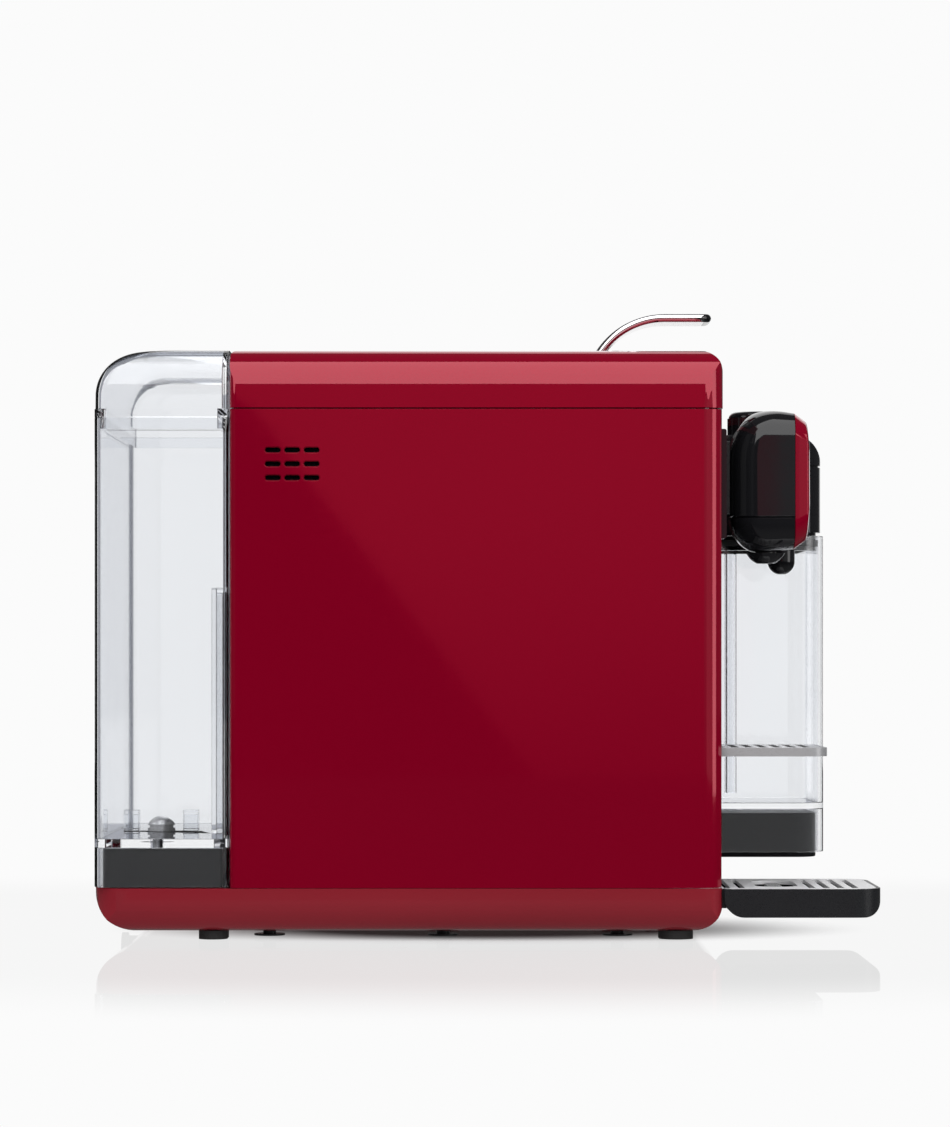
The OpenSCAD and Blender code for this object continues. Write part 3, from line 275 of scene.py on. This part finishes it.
BEVEL_ANGLE = math.radians(28)
CAD_SHARP_ANGLE = math.radians(32)
LOFT_SHARP_ANGLE = math.radians(34)


def soften(obj, width, segments=3):
    """Rounds every hard edge of a piece and keeps its flat faces flat."""
    for polygon in obj.data.polygons:
        polygon.use_smooth = True
    if width > 0:
        bevel = obj.modifiers.new("edges", "BEVEL")
        bevel.width = width
        bevel.segments = segments
        bevel.limit_method = "ANGLE"
        bevel.angle_limit = BEVEL_ANGLE
        bevel.use_clamp_overlap = True
        bevel.miter_outer = "MITER_ARC"
    normals = obj.modifiers.new("normals", "WEIGHTED_NORMAL")
    normals.keep_sharp = True
    normals.weight = 60
    return obj


def node_finish(node):
    for part in frame["record"]["subparts"]:
        if part["node"] == node:
            return part["material_slot"]
    return None


def mark_sharp(work, limit):
    for edge in work.edges:
        edge.smooth = len(edge.link_faces) == 2 and edge.calc_face_angle(0) < limit


WELD = 2e-6
FLAT_ANGLE = math.radians(0.6)


def finer(node, width, mat=None):
    """A copy of a CAD solid with clean faces and rounded edges, which stands for it."""
    mesh = NODES[node].data.copy()
    work = bmesh.new()
    work.from_mesh(mesh)
    bmesh.ops.remove_doubles(work, verts=work.verts, dist=WELD)
    bmesh.ops.dissolve_limit(work, angle_limit=FLAT_ANGLE, verts=work.verts, edges=work.edges,
                             use_dissolve_boundaries=False)
    mark_sharp(work, CAD_SHARP_ANGLE)
    work.to_mesh(mesh)
    work.free()
    slot = node_finish(node)
    obj = add_object(node + "_shape", mesh, mat or FINISHES[slot], NODES[node]["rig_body"], (node,))
    return soften(obj, width)


# ---------------------------------------------------------------- finishes of the CAD nodes
for node_name, node_object in NODES.items():
    node_object.data.materials.clear()
    node_object.data.materials.append(FINISHES[node_finish(node_name)])

# Width of the rounding on each visible casing's edges
EDGE = {
    "base_shell": 0.0006, "left_side_cover": 0.0005, "right_side_cover": 0.0005, "top_cover": 0.0006,
    "rear_panel": 0.0005, "guide_bar": 0.0005, "front_panel": 0.0005, "control_panel": 0.0003,
    "tank_dock": 0.0005, "water_tank": 0.0004, "capsule_hatch": 0.0004, "outlet_arm": 0.0006,
    "milk_container": 0.0004, "milk_container_base": 0.0006, "suction_tube": 0.0002, "milk_lid": 0.0006,
    "cup_rest": 0.0004, "drip_tray": 0.0006, "drip_grille": 0.0002, "capsule_bin": 0.0004,
}
# Nodes whose finish differs from the usual one of their slot; the dock, the milk container's base and the
# guide bar get a black with painted shade
SPECIAL = {
    "tank_dock": SHADE_DARKENED_BLACK, "milk_container_base": SHADE_DARKENED_BLACK, "guide_bar": SHADE_DARKENED_BLACK,
    "cup_rest": REST_METAL, "drip_grille": PALE_METAL, "suction_tube": CLEAR, "water_tank": CLEAR_TANK,
}
for node_name, width in EDGE.items():
    finer(node_name, width, SPECIAL.get(node_name))


# ---------------------------------------------------------------- lofted pieces
def loft(name, rings, mat, body, replaced=()):
    """A closed surface through rings of equal length, each a list of points; its ends are filled flat."""
    work = bmesh.new()
    rows = [[work.verts.new(point) for point in ring] for ring in rings]
    count = len(rings[0])
    for low, high in zip(rows, rows[1:]):
        for i in range(count):
            j = (i + 1) % count
            work.faces.new((low[i], low[j], high[j], high[i]))
    work.faces.new(list(reversed(rows[0])))
    work.faces.new(rows[-1])
    bmesh.ops.remove_doubles(work, verts=work.verts, dist=1e-6)
    bmesh.ops.dissolve_degenerate(work, edges=work.edges, dist=1e-7)
    bmesh.ops.recalc_face_normals(work, faces=work.faces)
    mark_sharp(work, LOFT_SHARP_ANGLE)
    mesh = bpy.data.meshes.new(name)
    work.to_mesh(mesh)
    work.free()
    obj = add_object(name, mesh, mat, body, replaced)
    return soften(obj, 0)


def rounded_outline(x, y, radii, steps=10):
    """Points of a rectangle with a radius for each corner, counted from the low corner, anticlockwise."""
    corners = (((x[0], y[0]), (1, 1), 180), ((x[1], y[0]), (-1, 1), 270),
               ((x[1], y[1]), (-1, -1), 0), ((x[0], y[1]), (1, -1), 90))
    points = []
    for ((cx, cy), (sx, sy), start), r in zip(corners, radii):
        r = max(r, 1e-5)
        for k in range(steps + 1):
            turn = math.radians(start + 90 * k / steps)
            points.append((cx + sx * r + r * math.cos(turn), cy + sy * r + r * math.sin(turn)))
    return points


def round_drop(distance, radius):
    """How far a rounding of this radius has fallen, a distance past its start."""
    d = min(max(distance, 0.0), radius)
    return radius - math.sqrt(radius * radius - d * d)


def blade(name, corners, thickness, mat, body):
    """A thin plate through four corners, with rounded edges."""
    work = bmesh.new()
    verts = [work.verts.new(corner) for corner in corners]
    face = work.faces.new(verts)
    face.normal_update()
    out = bmesh.ops.extrude_face_region(work, geom=[face])
    moved = [item for item in out["geom"] if isinstance(item, bmesh.types.BMVert)]
    bmesh.ops.translate(work, verts=moved, vec=face.normal * -thickness)
    bmesh.ops.recalc_face_normals(work, faces=work.faces)
    mesh = bpy.data.meshes.new(name)
    work.to_mesh(mesh)
    work.free()
    return soften(add_object(name, mesh, mat, body), thickness * 0.3, 2)


# Tank lid: one even wall, rounded at its sides, rear and upright corners
LID_LOW, LID_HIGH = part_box("tank_lid")
LID_WALL = 0.0022
LID_STEP = 0.0004
LID_SIDE_R = 0.017
LID_REAR_R = 0.022
LID_JOINT = 0.240
LID_FRONT_R = 0.0006
LEAST_CORNER = 0.0003
CORNER_GROWTH = 0.6
BEAD_LOW = 0.236
BEAD_EDGE = 0.0002
TANK_CORNER = 0.006
RIM_GAP = 0.0003
RIM_INSET = LID_WALL + RIM_GAP


def lid_ring(z, inset, depth=0.0):
    """Outline of the lid's skin at a height; depth is how far the skin lies under the outer one."""
    top = LID_HIGH.z - depth
    side_r, rear_r = LID_SIDE_R - depth, LID_REAR_R - depth
    side_drop = round_drop(z - (top - side_r), side_r)
    rear_drop = round_drop(z - (top - rear_r), rear_r)
    half = LID_HIGH.x - inset - side_drop
    corner = max(TANK_CORNER - inset, LEAST_CORNER) + CORNER_GROWTH * side_drop
    outline = rounded_outline((-half, half), (LID_LOW.y + inset, LID_HIGH.y - inset - rear_drop),
                              (LID_FRONT_R, LID_FRONT_R, corner, corner))
    return [(x, y, z) for x, y in outline]


def lid_skin(inset, depth):
    """Rings from the joint to the roof."""
    top, rear_r = LID_HIGH.z - depth, LID_REAR_R - depth
    heights = [top - rear_r + rear_r * math.sin(math.radians(turn)) for turn in range(5, 95, 5)]
    return [lid_ring(z, inset, depth) for z in [LID_JOINT] + heights]


lid_rings = list(reversed(lid_skin(LID_STEP + LID_WALL, LID_WALL)))
lid_rings += [lid_ring(LID_JOINT, RIM_INSET + LID_WALL), lid_ring(LID_LOW.z, RIM_INSET + LID_WALL),
              lid_ring(LID_LOW.z, RIM_INSET), lid_ring(BEAD_LOW, RIM_INSET), lid_ring(BEAD_LOW, BEAD_EDGE),
              lid_ring(BEAD_LOW + BEAD_EDGE, 0.0), lid_ring(LID_JOINT - BEAD_EDGE, 0.0),
              lid_ring(LID_JOINT, BEAD_EDGE)]
lid_rings += lid_skin(LID_STEP, 0.0)
loft("tank_lid_shell", lid_rings, CLEAR_LID, "tank_lid_body", ("tank_lid",))

# Lever: a bent bar with round edges, and its rounded end cap
_, LEVER_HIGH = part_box("lever")
TIP_LOW, TIP_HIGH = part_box("lever_tip")
LEVER_HALF = LEVER_HIGH.x
LEVER_T = TIP_HIGH.z - TIP_LOW.z
BEND_CENTRE = (-0.083, 0.2506)
BEND_R = LEVER_HIGH.z - BEND_CENTRE[1] - LEVER_T / 2
GRIP_R = 0.006
CAP_STEPS = 12
GRIP_ROWS = (-0.086, -0.09, -0.094, -0.0975, -0.0995, -0.1005)
CAP_STEP_IN = 0.0001
BEND_STEPS = 28
BAR_ROUND = 0.47


def lever_half(y):
    """Half the bar's width at a place along the grip, whose end is rounded seen from above."""
    past = max(0.0, GRIP_R - (y - TIP_LOW.y))
    return LEVER_HALF - round_drop(past, GRIP_R)


def bar_ring(y, z, turn, half, thickness):
    """Ring of the bar's section; turn is the direction of its upper side, 90 degrees where that faces up."""
    r = thickness * BAR_ROUND
    ring = []
    for x, out in rounded_outline((-half, half), (-thickness / 2, thickness / 2), (r, r, r, r), 6):
        ring.append((x, y + out * math.cos(turn), z + out * math.sin(turn)))
    return ring


rings = []
for k in range(BEND_STEPS + 1):
    turn = math.radians(10 + 80 * k / BEND_STEPS)
    rings.append(bar_ring(BEND_CENTRE[0] + BEND_R * math.cos(turn), BEND_CENTRE[1] + BEND_R * math.sin(turn),
                          turn, LEVER_HALF, LEVER_T))
for y in GRIP_ROWS + (TIP_HIGH.y - CAP_STEP_IN,):
    rings.append(bar_ring(y, BEND_CENTRE[1] + BEND_R, math.radians(90), lever_half(y), LEVER_T))
loft("lever_bar", rings, CHROME, "lever_body", ("lever",))

rings = []
for k in range(CAP_STEPS + 1):
    depth = (TIP_HIGH.y - TIP_LOW.y) * math.sin(math.radians(90 * k / CAP_STEPS))
    y = TIP_HIGH.y - depth
    nose = max(0.0, LEVER_T / 2 - (y - TIP_LOW.y))
    rings.append(bar_ring(y, BEND_CENTRE[1] + BEND_R, math.radians(90), lever_half(y) - 0.0001,
                          max(0.0002, LEVER_T - 2 * round_drop(nose, LEVER_T / 2))))
loft("lever_end_cap", rings, GLOSS_BLACK, "lever_body", ("lever_tip",))

# Slanted blades behind each row of vents keep drips and fingers out
VENT_Y = (0.0745, 0.1025)
VENT_ROWS = (0.2212, 0.21495, 0.2087)
BLADE_X = (0.0868, 0.0815)
BLADE_Z = (-0.0022, 0.0042)
BLADE_T = 0.0008
for side, label in ((-1, "left"), (1, "right")):
    for row, z in enumerate(VENT_ROWS):
        outer, inner = side * BLADE_X[0], side * BLADE_X[1]
        low, high = z + BLADE_Z[0], z + BLADE_Z[1]
        blade(f"vent_blade_{label}_{row + 1}",
              [(outer, VENT_Y[0], low), (outer, VENT_Y[1], low),
               (inner, VENT_Y[1], high), (inner, VENT_Y[0], high)],
              BLADE_T, SATIN_BLACK, "machine")

# Coffee outlet: a barrel with a crowned top and bottom
OUTLET_LOW, OUTLET_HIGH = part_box("outlet_housing")
PLATE_LOW, PLATE_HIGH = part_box("outlet_front_plate")
COVER_LOW, COVER_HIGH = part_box("outlet_lower_cover")
OUT_X = (OUTLET_LOW.x + OUTLET_HIGH.x) / 2
OUT_HALF = (OUTLET_HIGH.x - OUTLET_LOW.x) / 2
OUT_JOINT = OUTLET_LOW.y
OUT_BACK = OUTLET_HIGH.y
OUT_TOP = OUTLET_HIGH.z
OUT_BOTTOM = COVER_LOW.z
OUT_CROWN_Y = -0.128
OUT_MIDDLE = (OUT_TOP + OUT_BOTTOM) / 2
OUT_SIDE_R = (0.015, 0.012)
OUT_REAR_R = (0.018, 0.024)
OUT_PLAN_R = 0.013
OUT_CROWN_R = (0.062, 0.060)
OUT_REAR_SHARE = 0.62


def outlet_crown(y, z):
    """Lowers a point of the upper half, or raises one of the lower half, away from the nozzle's line."""
    upper = z > OUT_MIDDLE
    share = ((z - OUT_MIDDLE) / (OUT_TOP - OUT_MIDDLE)) ** 4
    drop = (y - OUT_CROWN_Y) ** 2 / (2 * OUT_CROWN_R[upper]) * share
    return z - drop if upper else z + drop


def outlet_ring(z, shrink=0.0, scale=1.0):
    """Outline of the outlet's barrel at a height, drawn in by shrink or scaled about its middle."""
    upper = z > OUT_MIDDLE
    past = (z - (OUT_TOP - OUT_SIDE_R[1])) if upper else ((OUT_BOTTOM + OUT_SIDE_R[0]) - z)
    side = round_drop(past, OUT_SIDE_R[upper]) + shrink
    past = (z - (OUT_TOP - OUT_REAR_R[1])) if upper else ((OUT_BOTTOM + OUT_REAR_R[0]) - z)
    rear = OUT_REAR_SHARE * round_drop(past, OUT_REAR_R[upper]) + shrink
    half = OUT_HALF - side
    plan = min(OUT_PLAN_R, half * 0.98)
    outline = rounded_outline((OUT_X - half, OUT_X + half), (OUT_JOINT, OUT_BACK - rear),
                              (0, 0, plan, plan), 12)
    middle_y = (OUT_JOINT + OUT_BACK - rear) / 2
    ring = []
    for x, y in outline:
        x = OUT_X + (x - OUT_X) * scale
        y = middle_y + (y - middle_y) * scale if scale < 1 else y
        ring.append((x, y, outlet_crown(y, z)))
    return ring


OUT_SEAM = OUTLET_LOW.z
SEAM_STEP = 0.0004
COVER_SHRINK = 0.0002
CAP_SCALES = (0.8, 0.6, 0.4, 0.2)
turn_rows = [OUT_TOP - OUT_REAR_R[1] + OUT_REAR_R[1] * math.sin(math.radians(6 * k)) for k in range(16)]
rings = [outlet_ring(OUT_SEAM, SEAM_STEP)]
rings += [outlet_ring(z) for z in [OUT_SEAM + SEAM_STEP, OUT_SEAM + 0.012] + turn_rows]
rings += [outlet_ring(OUT_TOP, 0, scale) for scale in CAP_SCALES]
loft("outlet_shell", rings, GLOSS_BLACK, "machine", ("outlet_housing",))

seam_z = COVER_HIGH.z
under_rows = [OUT_BOTTOM + OUT_SIDE_R[0] - OUT_SIDE_R[0] * math.sin(math.radians(6 * k)) for k in range(16)]
rings = [outlet_ring(seam_z, COVER_SHRINK + SEAM_STEP)]
rings += [outlet_ring(min(z, seam_z - SEAM_STEP), COVER_SHRINK) for z in under_rows]
rings += [outlet_ring(OUT_BOTTOM, COVER_SHRINK, scale) for scale in CAP_SCALES]
loft("outlet_underside", rings, GLOSS_BLACK, "machine", ("outlet_lower_cover",))

# Red plate on the outlet's front
PLATE_FRONT = PLATE_LOW.y
PLATE_BACK = PLATE_HIGH.y
# Share of the inset that the plate's sides take, and how far its face bulges
PLATE_TAPER = 0.22
PLATE_BULGE = 0.0021
# How far along the plate's depth, and how far in from its outline
PLATE_EDGE = ((0.0, 0.0005), (0.04, 0.0), (0.3, 0.0008), (0.6, 0.0018), (0.86, 0.0028), (0.93, 0.0032),
              (0.98, 0.0039), (1.0, 0.0050))


def plate_ring(y, inset, scale=1.0):
    """Outline of the plate at a depth; its last rings take the full inset at the sides too."""
    side = inset * PLATE_TAPER
    if inset >= PLATE_EDGE[-3][1]:
        side = inset - PLATE_EDGE[-4][1] * (1 - PLATE_TAPER)
    outline = rounded_outline((OUT_X - OUT_HALF + side, OUT_X + OUT_HALF - side),
                              (OUT_BOTTOM + inset, OUT_TOP - inset),
                              (OUT_SIDE_R[0], OUT_SIDE_R[0], OUT_SIDE_R[1], OUT_SIDE_R[1]), 12)
    ring = []
    for x, z in outline:
        x = OUT_X + (x - OUT_X) * scale
        z = OUT_MIDDLE + (z - OUT_MIDDLE) * scale
        bulge = ((z - OUT_MIDDLE) / (OUT_TOP - OUT_MIDDLE)) ** 2 + 0.55 * ((x - OUT_X) / OUT_HALF) ** 2
        depth = (PLATE_BACK - y) / (PLATE_BACK - PLATE_FRONT)
        ring.append((x, y + PLATE_BULGE * bulge * depth, outlet_crown(y, z)))
    return ring


rings = [plate_ring(PLATE_BACK + (PLATE_FRONT - PLATE_BACK) * share, inset) for share, inset in PLATE_EDGE]
rings += [plate_ring(PLATE_FRONT, PLATE_EDGE[-1][1], scale) for scale in (0.85, 0.7, 0.5, 0.3, 0.12)]
loft("outlet_face", rings, RED, "machine", ("outlet_front_plate",))


# ---------------------------------------------------------------- floor and light
def emission_plane(name, corners, strength):
    """A glowing card that only gloss sees."""
    mesh = bpy.data.meshes.new(name)
    mesh.from_pydata(corners, [], [list(range(len(corners)))])
    obj = bpy.data.objects.new(name, mesh)
    scene.collection.objects.link(obj)
    mat = bpy.data.materials.new(name)
    mat.use_nodes = True
    tree = mat.node_tree
    tree.nodes.clear()
    out = tree.nodes.new("ShaderNodeOutputMaterial")
    glow = tree.nodes.new("ShaderNodeEmission")
    glow.inputs["Strength"].default_value = strength
    tree.links.new(glow.outputs["Emission"], out.inputs["Surface"])
    mesh.materials.append(mat)
    obj.visible_camera = False
    obj.visible_shadow = False
    obj.visible_diffuse = False
    obj.visible_transmission = False
    return tree, glow


PAPER = 0.965
FLOOR_HALF = 6.0
floor_mesh = bpy.data.meshes.new("floor")
floor_corners = [(x * FLOOR_HALF, y * FLOOR_HALF, 0) for x, y in ((-1, -1), (1, -1), (1, 1), (-1, 1))]
floor_mesh.from_pydata(floor_corners, [], [(0, 1, 2, 3)])
floor = bpy.data.objects.new("floor", floor_mesh)
scene.collection.objects.link(floor)


def floor_material():
    """Pale paper: shaded under the machine, evenly bright around it, with a faint gloss near it."""
    mat = bpy.data.materials.new("floor")
    mat.use_nodes = True
    tree = mat.node_tree
    tree.nodes.clear()
    link = tree.links.new
    out = tree.nodes.new("ShaderNodeOutputMaterial")
    coords = tree.nodes.new("ShaderNodeTexCoord")
    scale = tree.nodes.new("ShaderNodeMapping")
    scale.inputs["Scale"].default_value = (1.0, 0.62, 1.0)
    link(coords.outputs["Object"], scale.inputs["Vector"])
    length = tree.nodes.new("ShaderNodeVectorMath")
    length.operation = "LENGTH"
    link(scale.outputs["Vector"], length.inputs[0])

    def fade(start, end, low, high):
        """Runs from low to high over a distance from the machine's middle."""
        return ramp(tree, length.outputs["Value"], start, end, low, high)

    diffuse = tree.nodes.new("ShaderNodeBsdfDiffuse")
    diffuse.inputs["Color"].default_value = (0.60, 0.60, 0.603, 1)
    gloss = tree.nodes.new("ShaderNodeBsdfGlossy")
    gloss.inputs["Roughness"].default_value = 0.012
    glow = tree.nodes.new("ShaderNodeEmission")
    glow.inputs["Color"].default_value = (PAPER, PAPER, PAPER, 1)
    base = tree.nodes.new("ShaderNodeMixShader")
    link(fade(0.05, 0.115, 0.0, 1.0), base.inputs["Fac"])
    link(diffuse.outputs["BSDF"], base.inputs[1])
    link(glow.outputs["Emission"], base.inputs[2])
    whole = tree.nodes.new("ShaderNodeMixShader")
    link(fade(0.28, 0.50, 0.22, 0.0), whole.inputs["Fac"])
    link(base.outputs["Shader"], whole.inputs[1])
    link(gloss.outputs["BSDF"], whole.inputs[2])
    # Gloss sees a dim floor, as it does in a dark studio
    rays = tree.nodes.new("ShaderNodeLightPath")
    dim = tree.nodes.new("ShaderNodeEmission")
    link(fade(0.12, 0.45, 0.14, 0.02), dim.inputs["Strength"])
    gloss_only = calculate(tree, "SUBTRACT", rays.outputs["Is Glossy Ray"],
                           rays.outputs["Transmission Depth"])
    gloss_only.node.use_clamp = True
    seen_by = tree.nodes.new("ShaderNodeMixShader")
    link(gloss_only, seen_by.inputs["Fac"])
    link(whole.outputs["Shader"], seen_by.inputs[1])
    link(dim.outputs["Emission"], seen_by.inputs[2])
    link(seen_by.outputs["Shader"], out.inputs["Surface"])
    return mat


floor_mesh.materials.append(floor_material())

world = bpy.data.worlds.new("world")
scene.world = world
world.use_nodes = True
world_tree = world.node_tree
world_tree.nodes.clear()
world_out = world_tree.nodes.new("ShaderNodeOutputWorld")
path = world_tree.nodes.new("ShaderNodeLightPath")


def world_light(colour, strength):
    node = world_tree.nodes.new("ShaderNodeBackground")
    node.inputs["Color"].default_value = (*colour, 1)
    node.inputs["Strength"].default_value = strength
    return node.outputs["Background"]


def deeper_than(depth_name, depth):
    return calculate(world_tree, "GREATER_THAN", path.outputs[depth_name], depth)


def world_mix(factor, first, second):
    node = world_tree.nodes.new("ShaderNodeMixShader")
    world_tree.links.new(factor, node.inputs["Fac"])
    world_tree.links.new(first, node.inputs[1])
    world_tree.links.new(second, node.inputs[2])
    return node.outputs["Shader"]


paper_light = world_light((1, 1, 1), PAPER)
soft_light = world_light((1.0, 1.0, 1.01), 0.72)
dark_light = world_light((1, 1, 1.02), 0.07)
seen = world_mix(path.outputs["Is Glossy Ray"], paper_light, dark_light)
seen = world_mix(path.outputs["Is Diffuse Ray"], seen, soft_light)
# Straight through clear plastic the paper shows, and light turned back inside its walls finds a dim studio
edge_light = world_light((0.95, 0.97, 1.05), 0.50)
through = world_mix(deeper_than("Glossy Depth", 1.5), paper_light, edge_light)
seen = world_mix(deeper_than("Transmission Depth", 0.5), seen, through)
world_tree.links.new(seen, world_out.inputs["Surface"])


def area_light(name, at, aim, size, power):
    data = bpy.data.lights.new(name, "AREA")
    data.shape = "RECTANGLE"
    data.size, data.size_y = size
    data.energy = power
    obj = bpy.data.objects.new(name, data)
    scene.collection.objects.link(obj)
    obj.location = at
    obj.rotation_euler = (Vector(aim) - Vector(at)).to_track_quat("-Z", "Y").to_euler()
    obj.visible_camera = False
    return obj


area_light("top_box", (-1.175, -0.05, 1.36), (-0.088, -0.05, 0.0), (1.9, 2.37), 34.0)
area_light("front_box", (-0.75, -1.7, 0.55), (0, 0, 0.15), (0.8, 1.5), 8.0)
rear_box = area_light("rear_box", (-0.2, 1.9, 1.6), (0, 0, 0.15), (0.9, 0.9), 7.0)
# Its mirror image would cut a hard white patch into the floor
rear_box.visible_glossy = False
area_light("right_box", (1.6, -0.4, 1.2), (0, 0, 0.15), (1.6, 1.5), 8.0)

# A dim card behind the camera: its slanted edge is the diagonal in the left side's gloss
CARD_X = -2.49
CARD_Y = (-0.9, 0.9)
CARD_Z = (-0.3, 0.62)
CARD_GLOW = 0.40
CARD_DARK = 0.015
EDGE_SOFT_SLOPE, EDGE_SOFT, EDGE_SOFT_LEAST = -0.01, 0.008, 0.004
CARD_PLAIN = (0.55, 0.55, 0.55)
CARD_WARM = (1.0, 0.25, 0.32)
# Two points of the slanted edge, as (Y, Z)
CARD_EDGE = ((0.263, 0.418), (-0.0675, -0.012))
CARD_SLOPE = (CARD_EDGE[0][0] - CARD_EDGE[1][0]) / (CARD_EDGE[0][1] - CARD_EDGE[1][1])
card_tree, card_glow = emission_plane(
    "panel_card", [(CARD_X, CARD_Y[0], CARD_Z[0]), (CARD_X, CARD_Y[1], CARD_Z[0]),
                   (CARD_X, CARD_Y[1], CARD_Z[1]), (CARD_X, CARD_Y[0], CARD_Z[1])], 1.0)
card_coords = card_tree.nodes.new("ShaderNodeTexCoord")
card_split = card_tree.nodes.new("ShaderNodeSeparateXYZ")
card_tree.links.new(card_coords.outputs["Object"], card_split.inputs["Vector"])
across_card, up_card = card_split.outputs["Y"], card_split.outputs["Z"]
edge_y = calculate(card_tree, "MULTIPLY_ADD", up_card, CARD_SLOPE,
                   CARD_EDGE[1][0] - CARD_SLOPE * CARD_EDGE[1][1])
past_edge = calculate(card_tree, "SUBTRACT", edge_y, across_card)
softness = calculate(card_tree, "MULTIPLY_ADD", up_card, EDGE_SOFT_SLOPE, EDGE_SOFT)
softness = calculate(card_tree, "MAXIMUM", softness, EDGE_SOFT_LEAST)
lit = ramp(card_tree, calculate(card_tree, "DIVIDE", past_edge, softness), -0.5, 0.5, CARD_DARK, 1.0)
# The card's light sinks towards the floor
sink = ramp(card_tree, up_card, -0.20, 0.34, 0.0, CARD_GLOW)
card_tree.links.new(calculate(card_tree, "MULTIPLY", lit, sink), card_glow.inputs["Strength"])
# It is warm where the body's side shows it and plain towards the front
warm = ramp(card_tree, across_card, -0.306, -0.294)
card_colour = mix_colours(card_tree, warm, CARD_PLAIN, CARD_WARM)
card_tree.links.new(card_colour, card_glow.inputs["Color"])

# A card towards the front gives the upright highlight beside the front edge
emission_plane("front_card", [(CARD_X, CARD_Y[0], CARD_Z[0]), (CARD_X, CARD_Y[0], 0.9), (-0.9, -2.4, 0.9),
                              (-0.9, -2.4, CARD_Z[0])], 0.34)
# A card behind the machine is the bright paper that its edges mirror
emission_plane("back_card", [(2.5, -2, 0), (2.5, 2, 0), (2.5, 2, 0.36), (2.5, -2, 0.36)], PAPER)
